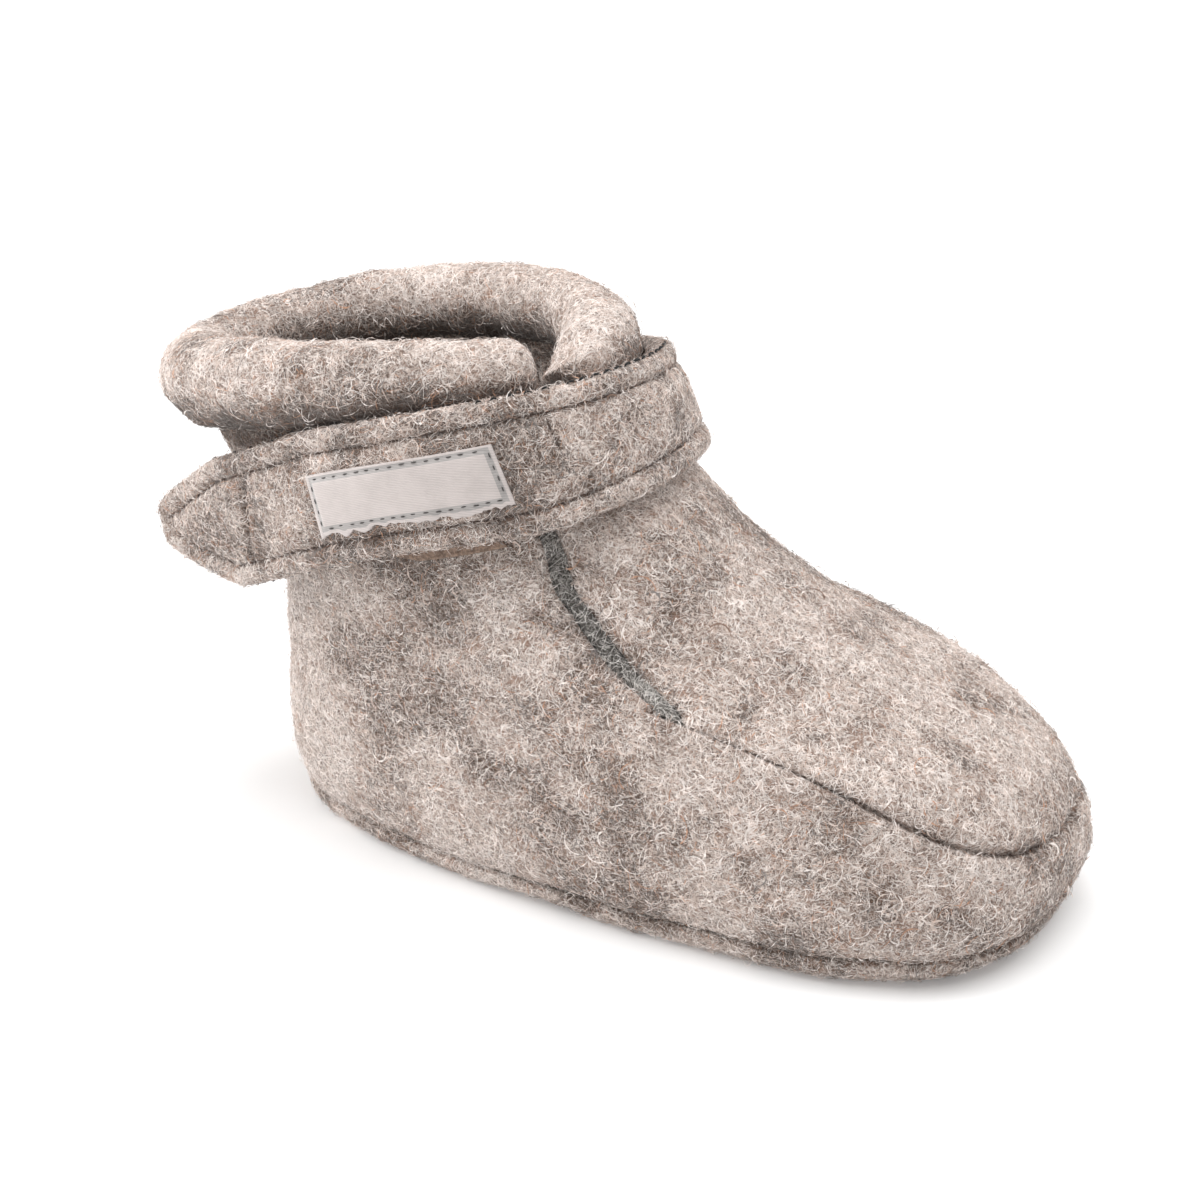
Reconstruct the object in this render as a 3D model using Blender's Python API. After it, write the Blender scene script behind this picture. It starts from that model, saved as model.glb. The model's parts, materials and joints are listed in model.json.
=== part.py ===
"""Wool boot for a baby's right foot: rolled collar, side opening and a fastening strap.

The toe points along +X, the lateral side with the opening faces -Y, and +Z is up. The tables are in
millimetres and in shares of the driving sizes; points become metres when a mesh is written. The wall of
the upper is drawn through sections that run from the sole seam to the collar. A place on it is a turn,
in degrees from the toe round the lateral side, and a level, which counts the rows of that table.
"""

from collections import namedtuple
import math

import bmesh
import bpy
import numpy as np

MM = 0.001

# Driving sizes
FOOT_LENGTH = 124.0     # heel to toe, outside
BALL_WIDTH = 60.0       # across the ball, outside
HEEL_HEIGHT = 42.5      # floor to the hollow above the heel
INSTEP_HEIGHT = 48.3    # floor to the bend in front of the ankle
WALL = 3.0              # wool with its lining
SEAT = 0.3              # air left between pieces that touch
TOE_SWING = 3.0         # how far the toe turns in, towards the medial side
SWING_START = 60.0      # where along the foot that turn begins
SEAM_DEPTH = 1.2        # how far a seam sinks into the wall
SEAM_REACH = 1.6        # how far to each side of a seam the wall dips
SEAM_FADE = 3           # mesh columns over which the vamp seam ends at the opening
SLIT_WIDTH = 2.6        # the opening between vamp and quarter

# Sections of the wall, from the sole seam up. Lengths are shares of the foot, rear heights of the heel
# height, front heights and rises of the instep height, and widths of the ball width. A rise lifts the
# middle of a section. Powers above 2 make the ends blunter.
Section = namedtuple("Section", "name back front rear_high front_high rise wide widest toe_power heel_power")
SECTIONS = (
    Section("sole_seam", 0.020, 0.982, 0.080, 0.091, 0.000, 0.933, 0.66, 2.8, 2.8),
    Section("low_wall", 0.005, 0.998, 0.208, 0.176, 0.020, 0.993, 0.65, 2.7, 2.8),
    Section("mid_wall", 0.008, 0.997, 0.384, 0.272, 0.124, 0.967, 0.62, 2.6, 3.1),
    Section("vamp_seam", 0.014, 0.988, 0.560, 0.364, 0.261, 0.895, 0.59, 2.5, 3.4),
    Section("vamp_low", 0.013, 0.927, 0.678, 0.542, 0.186, 0.872, 0.53, 2.3, 3.3),
    Section("instep", 0.005, 0.762, 0.819, 0.758, 0.072, 0.847, 0.45, 2.1, 2.7),
    Section("throat", -0.012, 0.609, 0.972, 0.975, 0.017, 0.822, 0.45, 2.1, 2.4),
    Section("under_strap", -0.040, 0.540, 1.097, 1.110, 0.000, 0.803, 0.47, 2.1, 2.3),
    Section("ankle", -0.077, 0.464, 1.224, 1.259, 0.000, 0.783, 0.49, 2.1, 2.2),
    Section("rim", -0.109, 0.411, 1.348, 1.435, 0.045, 0.770, 0.50, 2.1, 2.2),
    Section("crown", -0.141, 0.367, 1.501, 1.631, 0.060, 0.790, 0.50, 2.1, 2.2),
)
SEAM_LEVEL = 3
RIM_LEVEL = 9

# Levels of the upper's mesh rows; two more lie beside the vamp seam
ROW_LEVELS = (
    0.0, 0.5, 1.0, 1.5, 2.0, 2.5, 3.0, 3.6, 4.0, 4.33, 4.67,
    5.0, 5.33, 5.67, 6.0, 6.5, 7.0, 7.5, 8.0, 8.33, 8.67, 9.0,
)
FRONT_CELLS = 14        # mesh columns from the toe to the opening
BACK_CELLS = 34         # mesh columns from the opening round the heel to the medial seam

# The line of the opening, and of the medial seam that mirrors it
Slit = namedtuple("Slit", "level turn")
SLIT_LINE = (
    Slit(0.0, 82.0),
    Slit(3.0, 82.0),
    Slit(3.9, 75.0),
    Slit(4.87, 65.0),
    Slit(5.83, 57.0),
    Slit(6.93, 51.7),
    Slit(7.6, 46.8),
    Slit(8.39, 35.5),
    Slit(9.0, 26.0),
)

# How far up and down the wall the way in to its lining is averaged, in levels
Ease = namedtuple("Ease", "level reach")
LINING_EASE = (
    Ease(2.8, 0.0),
    Ease(3.5, 0.7),
    Ease(5.0, 0.7),
    Ease(5.8, 0.0),
)

# The sole's edge from its top to the floor: how far in from the seam's outline, and how high
SoleRow = namedtuple("SoleRow", "inset share")
SOLE_ROWS = (
    SoleRow(0.8, 1.00),
    SoleRow(0.1, 0.84),
    SoleRow(0.0, 0.60),
    SoleRow(0.5, 0.34),
    SoleRow(1.8, 0.10),
    SoleRow(4.2, 0.00),
)
SOLE_COLUMNS = 52
ARCH_LIFT = 0.8         # sole's middle off the floor
ARCH_SPAN = (42.0, 66.0)
TOE_SPRING = 1.6        # toe end of the sole off the floor
SPRING_START = 100.0
INSOLE_THICK = 2.2
INSOLE_INSET = 3.9

# Collar roll, from its lateral end round the heel and the toe side to the end beside the opening
RollStation = namedtuple("RollStation", "turn radius out")
ROLL = (
    RollStation(33.0, 4.9, -0.4),
    RollStation(60.0, 5.4, 0.0),
    RollStation(100.0, 6.0, 1.2),
    RollStation(140.0, 6.0, 0.3),
    RollStation(180.0, 5.8, -0.6),
    RollStation(260.0, 5.5, 0.6),
    RollStation(315.0, 5.2, 0.3),
    RollStation(350.0, 5.0, 0.2),
    RollStation(378.0, 4.9, 0.0),
)
ROLL_SEAT = 0.45        # air under the roll, which is measured to the middle of the rim
ROLL_STEPS = 56
ROLL_SIDES = 3          # bevel resolution
ROLL_END = (0.45, 0.80, 0.95)

# Strap, from its sewn medial end to where it leaves the ankle. Each station has the place of the upper
# and the lower edge on the wall, and how far the strap's inner face stands off the wall there.
StrapStation = namedtuple("StrapStation", "upper_turn upper_level upper_gap lower_turn lower_level lower_gap")
STRAP = (
    StrapStation(-92.0, 8.80, 0.8, -102.0, 6.60, 0.8),
    StrapStation(-68.0, 8.90, 1.2, -76.0, 6.95, 0.9),
    StrapStation(-45.0, 9.00, 3.0, -52.0, 7.20, 0.9),
    StrapStation(-24.0, 9.10, 4.6, -28.0, 7.55, 0.8),
    StrapStation(0.0, 9.20, 4.8, 0.0, 7.62, 0.8),
    StrapStation(24.0, 9.27, 4.4, 28.0, 7.50, 1.1),
    StrapStation(42.0, 9.30, 4.0, 48.0, 7.32, 1.4),
    StrapStation(58.0, 9.27, 3.5, 65.0, 7.20, 1.8),
    StrapStation(74.0, 9.18, 2.9, 82.0, 7.02, 2.0),
    StrapStation(90.0, 9.05, 2.3, 100.0, 6.58, 2.1),
    StrapStation(104.0, 8.85, 2.0, 116.0, 6.10, 2.0),
)
STRAP_THICK = 3.2
STRAP_STEPS = 4         # mesh steps between stations
TAB_REACH = 30.0        # loose end, straight on from where the strap leaves the ankle
TAB_STEPS = 15
# Share of the width left at a distance from the tip, and how far the point turns up there
Tip = namedtuple("Tip", "distance share rise")
TAB_TIP = (
    Tip(0.0, 0.20, 2.6),
    Tip(2.0, 0.42, 2.3),
    Tip(8.0, 0.70, 1.2),
    Tip(16.0, 1.0, 0.0),
)
STITCH_INSET = 3.2      # top-stitch line from each edge
STITCH_DEPTH = 0.5
STITCH_REACH = 0.8

# Blank label on the strap, in stations along it and in shares of its width from the lower edge
LABEL_STATIONS = (6.25, 9.05)
LABEL_ACROSS = (0.25, 0.70)
LABEL_THICK = 0.6

# Fastening tape on the wall behind the strap
TapeStation = namedtuple("TapeStation", "turn low_level high_level")
TAPE = (
    TapeStation(60.0, 6.80, 8.80),
    TapeStation(75.0, 6.72, 8.70),
    TapeStation(90.0, 6.62, 8.55),
    TapeStation(105.0, 6.45, 8.35),
)
TAPE_THICK = 1.0

# Gusset behind the opening: how far it reaches to each side of the opening's middle line, and the air
# between it and the wall
GussetStation = namedtuple("GussetStation", "level reach air")
GUSSET = (
    GussetStation(3.3, 2.0, 1.35),
    GussetStation(4.2, 2.9, 1.05),
    GussetStation(5.2, 3.6, 0.6),
    GussetStation(8.7, 3.6, 0.6),
)
GUSSET_THICK = 1.2
GUSSET_BOW = 0.9        # how much deeper the strip's edges lie than its middle
GUSSET_ROWS = 18

# Finishes: base colour and roughness
Finish = namedtuple("Finish", "colour roughness")
WOOL = Finish((0.46, 0.38, 0.34), 0.95)
DARK_WOOL = Finish((0.20, 0.17, 0.16), 0.95)
LABEL_SATIN = Finish((0.60, 0.55, 0.53), 0.55)
TAPE_NYLON = Finish((0.30, 0.23, 0.18), 0.80)


def smooth_row(table, place):
    """Return the numbers of a table at a place between its rows, along a smooth curve through them."""
    rows = np.array([row for row in table], float)
    index = int(min(max(math.floor(place), 0), len(rows) - 2))
    part = place - index
    here, there = rows[index], rows[index + 1]
    before = rows[index - 1] if index > 0 else 2 * here - there
    after = rows[index + 2] if index + 2 < len(rows) else 2 * there - here
    return 0.5 * (
        2 * here
        + (there - before) * part
        + (2 * before - 5 * here + 4 * there - after) * part ** 2
        + (3 * here - before - 3 * there + after) * part ** 3
    )


def straight(table, value, column=1):
    """Return a column of a table at a value of its first column, straight between rows."""
    return float(np.interp(value, [row[0] for row in table], [row[column] for row in table]))


SECTION_NUMBERS = [section[1:] for section in SECTIONS]


def skin(turn, level):
    """Return the point of the wall's outer face at a turn and a level."""
    section = Section("", *smooth_row(SECTION_NUMBERS, level))
    back, front = section.back * FOOT_LENGTH, section.front * FOOT_LENGTH
    middle = back + section.widest * (front - back)
    cosine, sine = math.cos(math.radians(turn)), math.sin(math.radians(turn))
    power = section.toe_power if cosine >= 0 else section.heel_power
    reach = front - middle if cosine >= 0 else middle - back
    bulge = (abs(cosine) ** power + abs(sine) ** power) ** (-1 / power)
    x = middle + reach * bulge * cosine
    y = -0.5 * section.wide * BALL_WIDTH * bulge * sine
    y += TOE_SWING * max(0.0, (x - SWING_START) / (FOOT_LENGTH - SWING_START)) ** 2
    along = (x - back) / (front - back)
    rear_high, front_high = section.rear_high * HEEL_HEIGHT, section.front_high * INSTEP_HEIGHT
    z = rear_high + (front_high - rear_high) * along
    z += section.rise * INSTEP_HEIGHT * 4 * along * (1 - along)
    return np.array([x, y, z])


def unit(vector):
    """Return a vector at length one."""
    return vector / np.linalg.norm(vector)


def outward(turn, level):
    """Return the direction that points straight out of the wall."""
    around = skin(turn + 0.5, level) - skin(turn - 0.5, level)
    upward = skin(turn, level + 0.03) - skin(turn, max(level - 0.03, 0.0))
    return unit(np.cross(upward, around))


def upward(turn, level):
    """Return the direction that runs up the wall, square to its turn."""
    around = skin(turn + 0.5, level) - skin(turn - 0.5, level)
    return unit(np.cross(around, outward(turn, level)))


def off_wall(turn, level, distance):
    """Return the point at a distance out from the wall, or into it where that is negative."""
    return skin(turn, level) + distance * outward(turn, level)


def inside_wall(turn, level, depth):
    """Return the point at a depth in the wall. Above the vamp seam its way in is eased, so that rows don't cross."""
    ease = straight(LINING_EASE, level)
    ways = [outward(turn, level + ease * part) for part in (-1.0, -0.5, 0.0, 0.5, 1.0)]
    return skin(turn, level) - depth * unit(sum(ways))


def turns_in(distance, turn, level):
    """Return how many degrees of turn a distance along the wall takes."""
    return distance / np.linalg.norm(skin(turn + 0.5, level) - skin(turn - 0.5, level))


def new_object(name, data, finish, parent):
    """Add an object with its own material under the boot's empty."""
    material = bpy.data.materials.new(name)
    material.use_nodes = True
    shader = material.node_tree.nodes["Principled BSDF"]
    shader.inputs["Base Color"].default_value = (*finish.colour, 1.0)
    shader.inputs["Roughness"].default_value = finish.roughness
    material.diffuse_color = (*finish.colour, 1.0)
    data.materials.append(material)
    made = bpy.data.objects.new(name, data)
    bpy.context.scene.collection.objects.link(made)
    made.parent = parent
    return made


def add_cells(form, rows, closed=False, left_out=()):
    """Add rows of points to a bmesh with a face in each cell, and return the points in one list.

    Closed rows join their last column to their first. left_out holds (row, column) cells that stay open.
    """
    points = [[form.verts.new(point * MM) for point in row] for row in rows]
    columns = len(rows[0])
    for row in range(len(rows) - 1):
        for column in range(columns if closed else columns - 1):
            if (row, column) in left_out:
                continue
            beside = (column + 1) % columns
            form.faces.new((
                points[row][column],
                points[row + 1][column],
                points[row + 1][beside],
                points[row][beside],
            ))
    return [point for row in points for point in row]


def mesh_object(name, form, finish, parent):
    """Turn a bmesh into an object."""
    mesh = bpy.data.meshes.new(name)
    form.to_mesh(mesh)
    form.free()
    return new_object(name, mesh, finish, parent)


def sheet(name, rows, finish, parent, thick):
    """Make a sheet from rows of points, lowest first, and thicken it, outwards where thick is positive."""
    form = bmesh.new()
    add_cells(form, rows)
    made = mesh_object(name, form, finish, parent)
    wall = made.modifiers.new("thickness", "SOLIDIFY")
    wall.thickness = abs(thick) * MM
    wall.offset = math.copysign(1.0, thick)
    wall.use_even_offset = False
    return made


def wall_between(name, outer, inner, finish, parent, closed=False, left_out=()):
    """Make a wall that fills the room between two sets of rows, joined along every open edge."""
    form = bmesh.new()
    across = dict(zip(
        add_cells(form, outer, closed, left_out),
        add_cells(form, inner, closed, left_out),
    ))
    for edge in [edge for edge in form.edges if edge.is_boundary and edge.verts[0] in across]:
        first, second = edge.verts
        form.faces.new((first, second, across[second], across[first]))
    bmesh.ops.recalc_face_normals(form, faces=form.faces)
    return mesh_object(name, form, finish, parent)


def level_beside(turn, level, distance):
    """Return the level at a distance up the wall from another level."""
    step = math.copysign(0.3, distance)
    return level + distance * 0.3 / np.linalg.norm(skin(turn, level + step) - skin(turn, level))


def upper_rows():
    """Return the upper's mesh rows as pairs: a level, and a distance up the wall from it."""
    rows = [(level, 0.0) for level in ROW_LEVELS]
    return sorted(rows + [(SEAM_LEVEL, -SEAM_REACH), (SEAM_LEVEL, SEAM_REACH)])


def upper_turns(level):
    """Return the turns of the upper's mesh columns, and the numbers of the opening's and the seam's."""
    middle = straight(SLIT_LINE, level)
    half = turns_in(SLIT_WIDTH / 2, middle, level)
    dip = turns_in(SEAM_REACH, -middle, level)
    front = np.linspace(0.0, middle - half, FRONT_CELLS + 1)
    back = np.linspace(middle + half, 360.0 - middle - dip, BACK_CELLS + 1)
    medial = np.linspace(360.0 - middle + dip, 360.0, FRONT_CELLS + 1)[:-1]
    seam = FRONT_CELLS + 1 + BACK_CELLS + 1
    return [*front, *back, 360.0 - middle, *medial], FRONT_CELLS, seam


def make_upper(parent):
    """Make the wool wall: vamp and quarter with the sunk seam between them, and the side opening."""
    outer, inner, left_out = [], [], set()
    for number, (level, beside) in enumerate(upper_rows()):
        on_seam = level == SEAM_LEVEL and beside == 0.0
        row_level = level_beside(straight(SLIT_LINE, level), level, beside) if beside else level
        turns, opening, seam = upper_turns(row_level)
        outer.append([])
        inner.append([])
        for column, turn in enumerate(turns):
            sunk = 0.0
            if on_seam and column <= opening:
                sunk = min(1.0, (opening - column) / SEAM_FADE)
            if on_seam and column >= seam or row_level > SEAM_LEVEL and column == seam:
                sunk = 1.0
            here = level_beside(turn, level, beside) if beside else level
            outer[-1].append(off_wall(turn, here, -SEAM_DEPTH * sunk))
            inner[-1].append(inside_wall(turn, here, WALL))
        if row_level >= SEAM_LEVEL:
            left_out.add((number, opening))
    return wall_between("upper", outer, inner, WOOL, parent, True, left_out)


def floor_lift(x):
    """Return how far the sole's underside is off the floor at a place along the foot."""
    start, end = ARCH_SPAN
    lift = 0.0
    if start < x < end:
        lift = ARCH_LIFT * math.sin(math.pi * (x - start) / (end - start)) ** 2
    if x > SPRING_START:
        lift += TOE_SPRING * ((x - SPRING_START) / (FOOT_LENGTH - SPRING_START)) ** 2
    return lift


def outline(turn, inset):
    """Return the sole seam's point at a turn, moved in level from the outline."""
    around = skin(turn + 0.5, 0.0) - skin(turn - 0.5, 0.0)
    inward = unit(np.array([around[1], -around[0], 0.0]))
    return skin(turn, 0.0) + inset * inward


def make_pad(name, loops, finish, parent):
    """Make a pad from loops of points, top loop first, with its top and bottom closed straight across."""
    form = bmesh.new()
    rings = [[form.verts.new(point * MM) for point in loop] for loop in loops]
    count = len(loops[0])
    for above, below in zip(rings, rings[1:]):
        for column in range(count):
            beside = (column + 1) % count
            form.faces.new((above[column], above[beside], below[beside], below[column]))
    for ring in (rings[0], rings[-1]):
        for column in range(count // 2):
            corners = [ring[column], ring[column + 1], ring[count - 1 - column], ring[-column]]
            form.faces.new(list(dict.fromkeys(corners)))
    bmesh.ops.recalc_face_normals(form, faces=form.faces)
    return mesh_object(name, form, finish, parent)


def sole_turns():
    """Return evenly spread turns, in pairs that mirror each other."""
    return [360.0 * column / SOLE_COLUMNS for column in range(SOLE_COLUMNS)]


def make_sole(parent):
    """Make the wool sole with its rounded edge, flat under the heel and the ball of the foot."""
    loops = []
    for row in SOLE_ROWS:
        loop = []
        for turn in sole_turns():
            point = outline(turn, row.inset)
            bottom = floor_lift(point[0])
            point[2] = bottom + row.share * (skin(turn, 0.0)[2] - SEAT - bottom)
            loop.append(point)
        loops.append(loop)
    return make_pad("sole", loops, WOOL, parent)


def make_insole(parent):
    """Make the soft pad that lies on the sole inside the wall."""
    loops = []
    for height in (INSOLE_THICK, 0.0):
        loop = []
        for turn in sole_turns():
            point = outline(turn, INSOLE_INSET)
            point[2] = skin(turn, 0.0)[2] + height
            loop.append(point)
        loops.append(loop)
    return make_pad("insole", loops, DARK_WOOL, parent)


def make_collar_roll(parent):
    """Make the rolled top edge as a tube that lies on the wall's rim and stops beside the opening."""
    curve = bpy.data.curves.new("collar_roll", "CURVE")
    curve.dimensions = "3D"
    curve.bevel_depth = MM
    curve.bevel_resolution = ROLL_SIDES
    curve.use_fill_caps = True
    spline = curve.splines.new("POLY")
    spline.points.add(ROLL_STEPS)
    for step, point in enumerate(spline.points):
        turn = ROLL[0].turn + (ROLL[-1].turn - ROLL[0].turn) * step / ROLL_STEPS
        radius = straight(ROLL, turn, 1)
        centre = off_wall(turn, RIM_LEVEL, straight(ROLL, turn, 2) - WALL / 2)
        centre = centre + (radius + ROLL_SEAT) * upward(turn, RIM_LEVEL)
        from_end = min(step, ROLL_STEPS - step)
        point.co = (*(centre * MM), 1.0)
        point.radius = radius * (ROLL_END[from_end] if from_end < len(ROLL_END) else 1.0)
    return new_object("collar_roll", curve, WOOL, parent)


def strap_edges(place):
    """Return the lower and the upper edge of the strap's inner face at a place in its table."""
    station = StrapStation(*smooth_row(STRAP, place))
    lower = off_wall(station.lower_turn, station.lower_level, station.lower_gap)
    upper = off_wall(station.upper_turn, station.upper_level, station.upper_gap)
    return lower, upper


def strap_frame(place):
    """Return the strap's lower edge, its way across and its way out at a place in its table."""
    lower, upper = strap_edges(place)
    ahead = sum(strap_edges(place + 0.02)) - sum(strap_edges(place - 0.02))
    across = upper - lower
    return lower, across, unit(np.cross(across, ahead)), unit(ahead)


def stitch_rows(width):
    """Return the strap's mesh rows as distances from its lower edge, each with its depth."""
    rows = [(0.0, 0.0)]
    for line in (STITCH_INSET, width - STITCH_INSET):
        rows += [(line - STITCH_REACH, 0.0), (line, STITCH_DEPTH), (line + STITCH_REACH, 0.0)]
        if line == STITCH_INSET:
            rows.append((width / 2, 0.0))
    return rows + [(width, 0.0)]


def make_strap(parent):
    """Make the strap from its sewn end round the ankle, with a pointed loose end."""
    last = len(STRAP) - 1
    stations = []
    for step in range(last * STRAP_STEPS + 1):
        lower, across, out, _ = strap_frame(step / STRAP_STEPS)
        stations.append((lower + across / 2, across, out, 1.0))
    lower, across, out, ahead = strap_frame(last)
    for step in range(1, TAB_STEPS + 1):
        distance = TAB_REACH * step / TAB_STEPS
        share = straight(TAB_TIP, TAB_REACH - distance)
        rise = straight(TAB_TIP, TAB_REACH - distance, 2)
        middle = lower + across / 2 + distance * ahead + rise * unit(across)
        stations.append((middle, across, out, share))
    outer, inner = [], []
    for middle, across, out, share in stations:
        width = np.linalg.norm(across)
        rows = stitch_rows(width)
        inner.append([middle + unit(across) * (distance - width / 2) * share for distance, _ in rows])
        outer.append([
            point + out * (STRAP_THICK - depth * share)
            for point, (_, depth) in zip(inner[-1], rows)
        ])
    return wall_between("strap", outer, inner, WOOL, parent)


def make_label(parent):
    """Make the blank label on the strap's outer face."""
    rows = []
    for share in np.linspace(*LABEL_ACROSS, 3):
        row = []
        for place in np.linspace(*LABEL_STATIONS, 13):
            lower, across, out, _ = strap_frame(place)
            row.append(lower + share * across + (STRAP_THICK + SEAT) * out)
        rows.append(row)
    return sheet("label", rows, LABEL_SATIN, parent, LABEL_THICK)


def make_fastening_tape(parent):
    """Make the tape that is sewn to the wall behind the strap."""
    rows = []
    for share in np.linspace(0.0, 1.0, 5):
        row = []
        for turn in np.linspace(TAPE[0].turn, TAPE[-1].turn, 12):
            low, high = straight(TAPE, turn, 1), straight(TAPE, turn, 2)
            row.append(off_wall(turn, low + share * (high - low), SEAT))
        rows.append(row)
    return sheet("fastening_tape", rows, TAPE_NYLON, parent, TAPE_THICK)


def make_throat_gusset(parent):
    """Make the strip that closes the opening from inside the wall. It bows in towards its two edges."""
    levels = np.linspace(GUSSET[0].level, GUSSET[-1].level, GUSSET_ROWS)
    wall = [skin(straight(SLIT_LINE, level), level) for level in levels]
    middle = [
        inside_wall(straight(SLIT_LINE, level), level, WALL + straight(GUSSET, level, 2))
        for level in levels
    ]
    outer, inner = [], []
    for number, level in enumerate(levels):
        out = unit(wall[number] - middle[number])
        ahead = middle[min(number + 1, GUSSET_ROWS - 1)] - middle[max(number - 1, 0)]
        aside = unit(np.cross(out, ahead)) * straight(GUSSET, level, 1)
        outer.append([
            middle[number] + share * aside - GUSSET_BOW * share ** 2 * out
            for share in (-1.0, -0.5, 0.0, 0.5, 1.0)
        ])
        inner.append([point - GUSSET_THICK * out for point in outer[-1]])
    return wall_between("throat_gusset", outer, inner, DARK_WOOL, parent)


def stand_on_origin(parent, pieces):
    """Move the boot so that the middle of its underside is at the origin."""
    bpy.context.view_layer.update()
    graph = bpy.context.evaluated_depsgraph_get()
    corners = []
    for piece in pieces:
        evaluated = piece.evaluated_get(graph)
        mesh = evaluated.to_mesh()
        corners += [tuple(point.co) for point in mesh.vertices]
        evaluated.to_mesh_clear()
    low, high = np.min(corners, axis=0), np.max(corners, axis=0)
    parent.location = (-(low[0] + high[0]) / 2, -(low[1] + high[1]) / 2, -low[2])


def build():
    """Clear the scene and make the boot's pieces."""
    for old in list(bpy.data.objects):
        bpy.data.objects.remove(old)
    boot = bpy.data.objects.new("wool_boot", None)
    bpy.context.scene.collection.objects.link(boot)
    makers = (
        make_sole,
        make_insole,
        make_upper,
        make_throat_gusset,
        make_collar_roll,
        make_fastening_tape,
        make_strap,
        make_label,
    )
    stand_on_origin(boot, [make(boot) for make in makers])


build()
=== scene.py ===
"""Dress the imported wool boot: felted wool, seams, top-stitching, lining and a blank label.

The boot's own frame is in millimetres, with the heel at x = 0, the toe along +X, the lateral side with the
opening at -Y and +Z up. A place on the wall is a turn, in degrees from the toe round the lateral side, and
a level, which counts the rows of the section table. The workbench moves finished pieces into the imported
frame and writes them in metres.
"""

from __future__ import annotations

import json
import logging
import math
from collections import Counter
from dataclasses import dataclass, field
from enum import Enum
from typing import NamedTuple, Sequence

import bpy
import numpy as np
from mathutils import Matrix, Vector

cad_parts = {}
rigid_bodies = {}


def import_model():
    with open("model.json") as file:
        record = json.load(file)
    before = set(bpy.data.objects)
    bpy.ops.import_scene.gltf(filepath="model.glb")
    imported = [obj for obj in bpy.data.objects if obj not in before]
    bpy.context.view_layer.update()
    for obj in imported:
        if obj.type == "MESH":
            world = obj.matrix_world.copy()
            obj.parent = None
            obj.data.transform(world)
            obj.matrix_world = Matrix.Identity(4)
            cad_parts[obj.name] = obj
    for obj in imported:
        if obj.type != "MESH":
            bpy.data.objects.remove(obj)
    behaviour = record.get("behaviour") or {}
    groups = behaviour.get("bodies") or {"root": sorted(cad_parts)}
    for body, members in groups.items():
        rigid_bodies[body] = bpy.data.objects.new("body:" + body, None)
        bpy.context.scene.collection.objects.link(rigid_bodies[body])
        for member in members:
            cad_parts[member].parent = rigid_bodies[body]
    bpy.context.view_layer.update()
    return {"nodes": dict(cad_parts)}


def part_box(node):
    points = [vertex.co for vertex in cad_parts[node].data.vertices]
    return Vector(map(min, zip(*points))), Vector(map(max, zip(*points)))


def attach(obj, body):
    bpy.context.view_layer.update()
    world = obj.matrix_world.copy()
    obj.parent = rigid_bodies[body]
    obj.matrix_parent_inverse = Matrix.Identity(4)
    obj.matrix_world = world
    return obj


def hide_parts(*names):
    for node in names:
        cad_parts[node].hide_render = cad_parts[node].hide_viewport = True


Array = np.ndarray
Colour = tuple[float, float, float]
Spot = tuple[float, float, float]
Face = tuple[int, ...]
Socket = bpy.types.NodeSocket
Material = bpy.types.Material

MM = 0.001
FLOOR_CLEAR = 0.05
log = logging.getLogger("wool_boot")


class Slot(Enum):
    """Material slots of the record."""

    WOOL = "wool"
    LINING = "wool_lining"
    LABEL = "label_satin"
    TAPE = "tape_nylon"


class Section(NamedTuple):
    """One section of the wall, in shares of the driving sizes."""

    back: float
    front: float
    rear_high: float
    front_high: float
    rise: float
    wide: float
    widest: float
    toe_power: float
    heel_power: float


SECTIONS = (
    Section(0.020, 0.982, 0.080, 0.091, 0.000, 0.933, 0.66, 2.8, 2.8),    # sole seam
    Section(0.005, 0.998, 0.208, 0.176, 0.020, 0.993, 0.65, 2.7, 2.8),    # low wall
    Section(0.008, 0.997, 0.384, 0.272, 0.124, 0.967, 0.62, 2.6, 3.1),    # middle of the wall
    Section(0.014, 0.988, 0.560, 0.364, 0.261, 0.895, 0.59, 2.5, 3.4),    # vamp seam
    Section(0.013, 0.927, 0.678, 0.542, 0.186, 0.872, 0.53, 2.3, 3.3),    # low vamp
    Section(0.005, 0.762, 0.819, 0.758, 0.072, 0.847, 0.45, 2.1, 2.7),    # instep
    Section(-0.012, 0.609, 0.972, 0.975, 0.017, 0.822, 0.45, 2.1, 2.4),   # throat
    Section(-0.040, 0.540, 1.097, 1.110, 0.000, 0.803, 0.47, 2.1, 2.3),   # under the strap
    Section(-0.077, 0.464, 1.224, 1.259, 0.000, 0.783, 0.49, 2.1, 2.2),   # ankle
    Section(-0.109, 0.411, 1.348, 1.435, 0.045, 0.770, 0.50, 2.1, 2.2),   # rim
    Section(-0.141, 0.367, 1.501, 1.631, 0.060, 0.790, 0.50, 2.1, 2.2),   # crown
)

# Turn at which the opening meets the vamp seam, and the levels between which the wall's rows even out
SLIT_END = 82.0
HIGH_BAND = 0.85
THROAT_LEVEL = 6.0

# Turns above this lie on the medial side
MEDIAL = 180.0

# Line of the opening: level, turn, half of its width. The medial seam mirrors it.
SLIT_LINE = np.array((
    (0.0, 84.0, 1.6),
    (3.0, 84.0, 1.6),
    (3.65, 80.0, 2.05),
    (3.94, 77.0, 1.95),
    (4.88, 65.2, 1.85),
    (5.83, 57.0, 1.6),
    (6.93, 51.0, 1.35),
    (7.6, 46.8, 1.3),
    (8.39, 35.5, 1.3),
    (9.0, 26.0, 1.3),
))


def unit(vectors: Array) -> Array:
    """Return vectors at length one."""
    return vectors / np.maximum(np.linalg.norm(vectors, axis=-1, keepdims=True), 1e-9)


def smooth_step(low: float, high: float, value: Array) -> Array:
    """Return 0 below low, 1 above high and a smooth rise between them."""
    part = np.clip((np.asarray(value, float) - low) / (high - low), 0.0, 1.0)
    return part * part * (3.0 - 2.0 * part)


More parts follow.
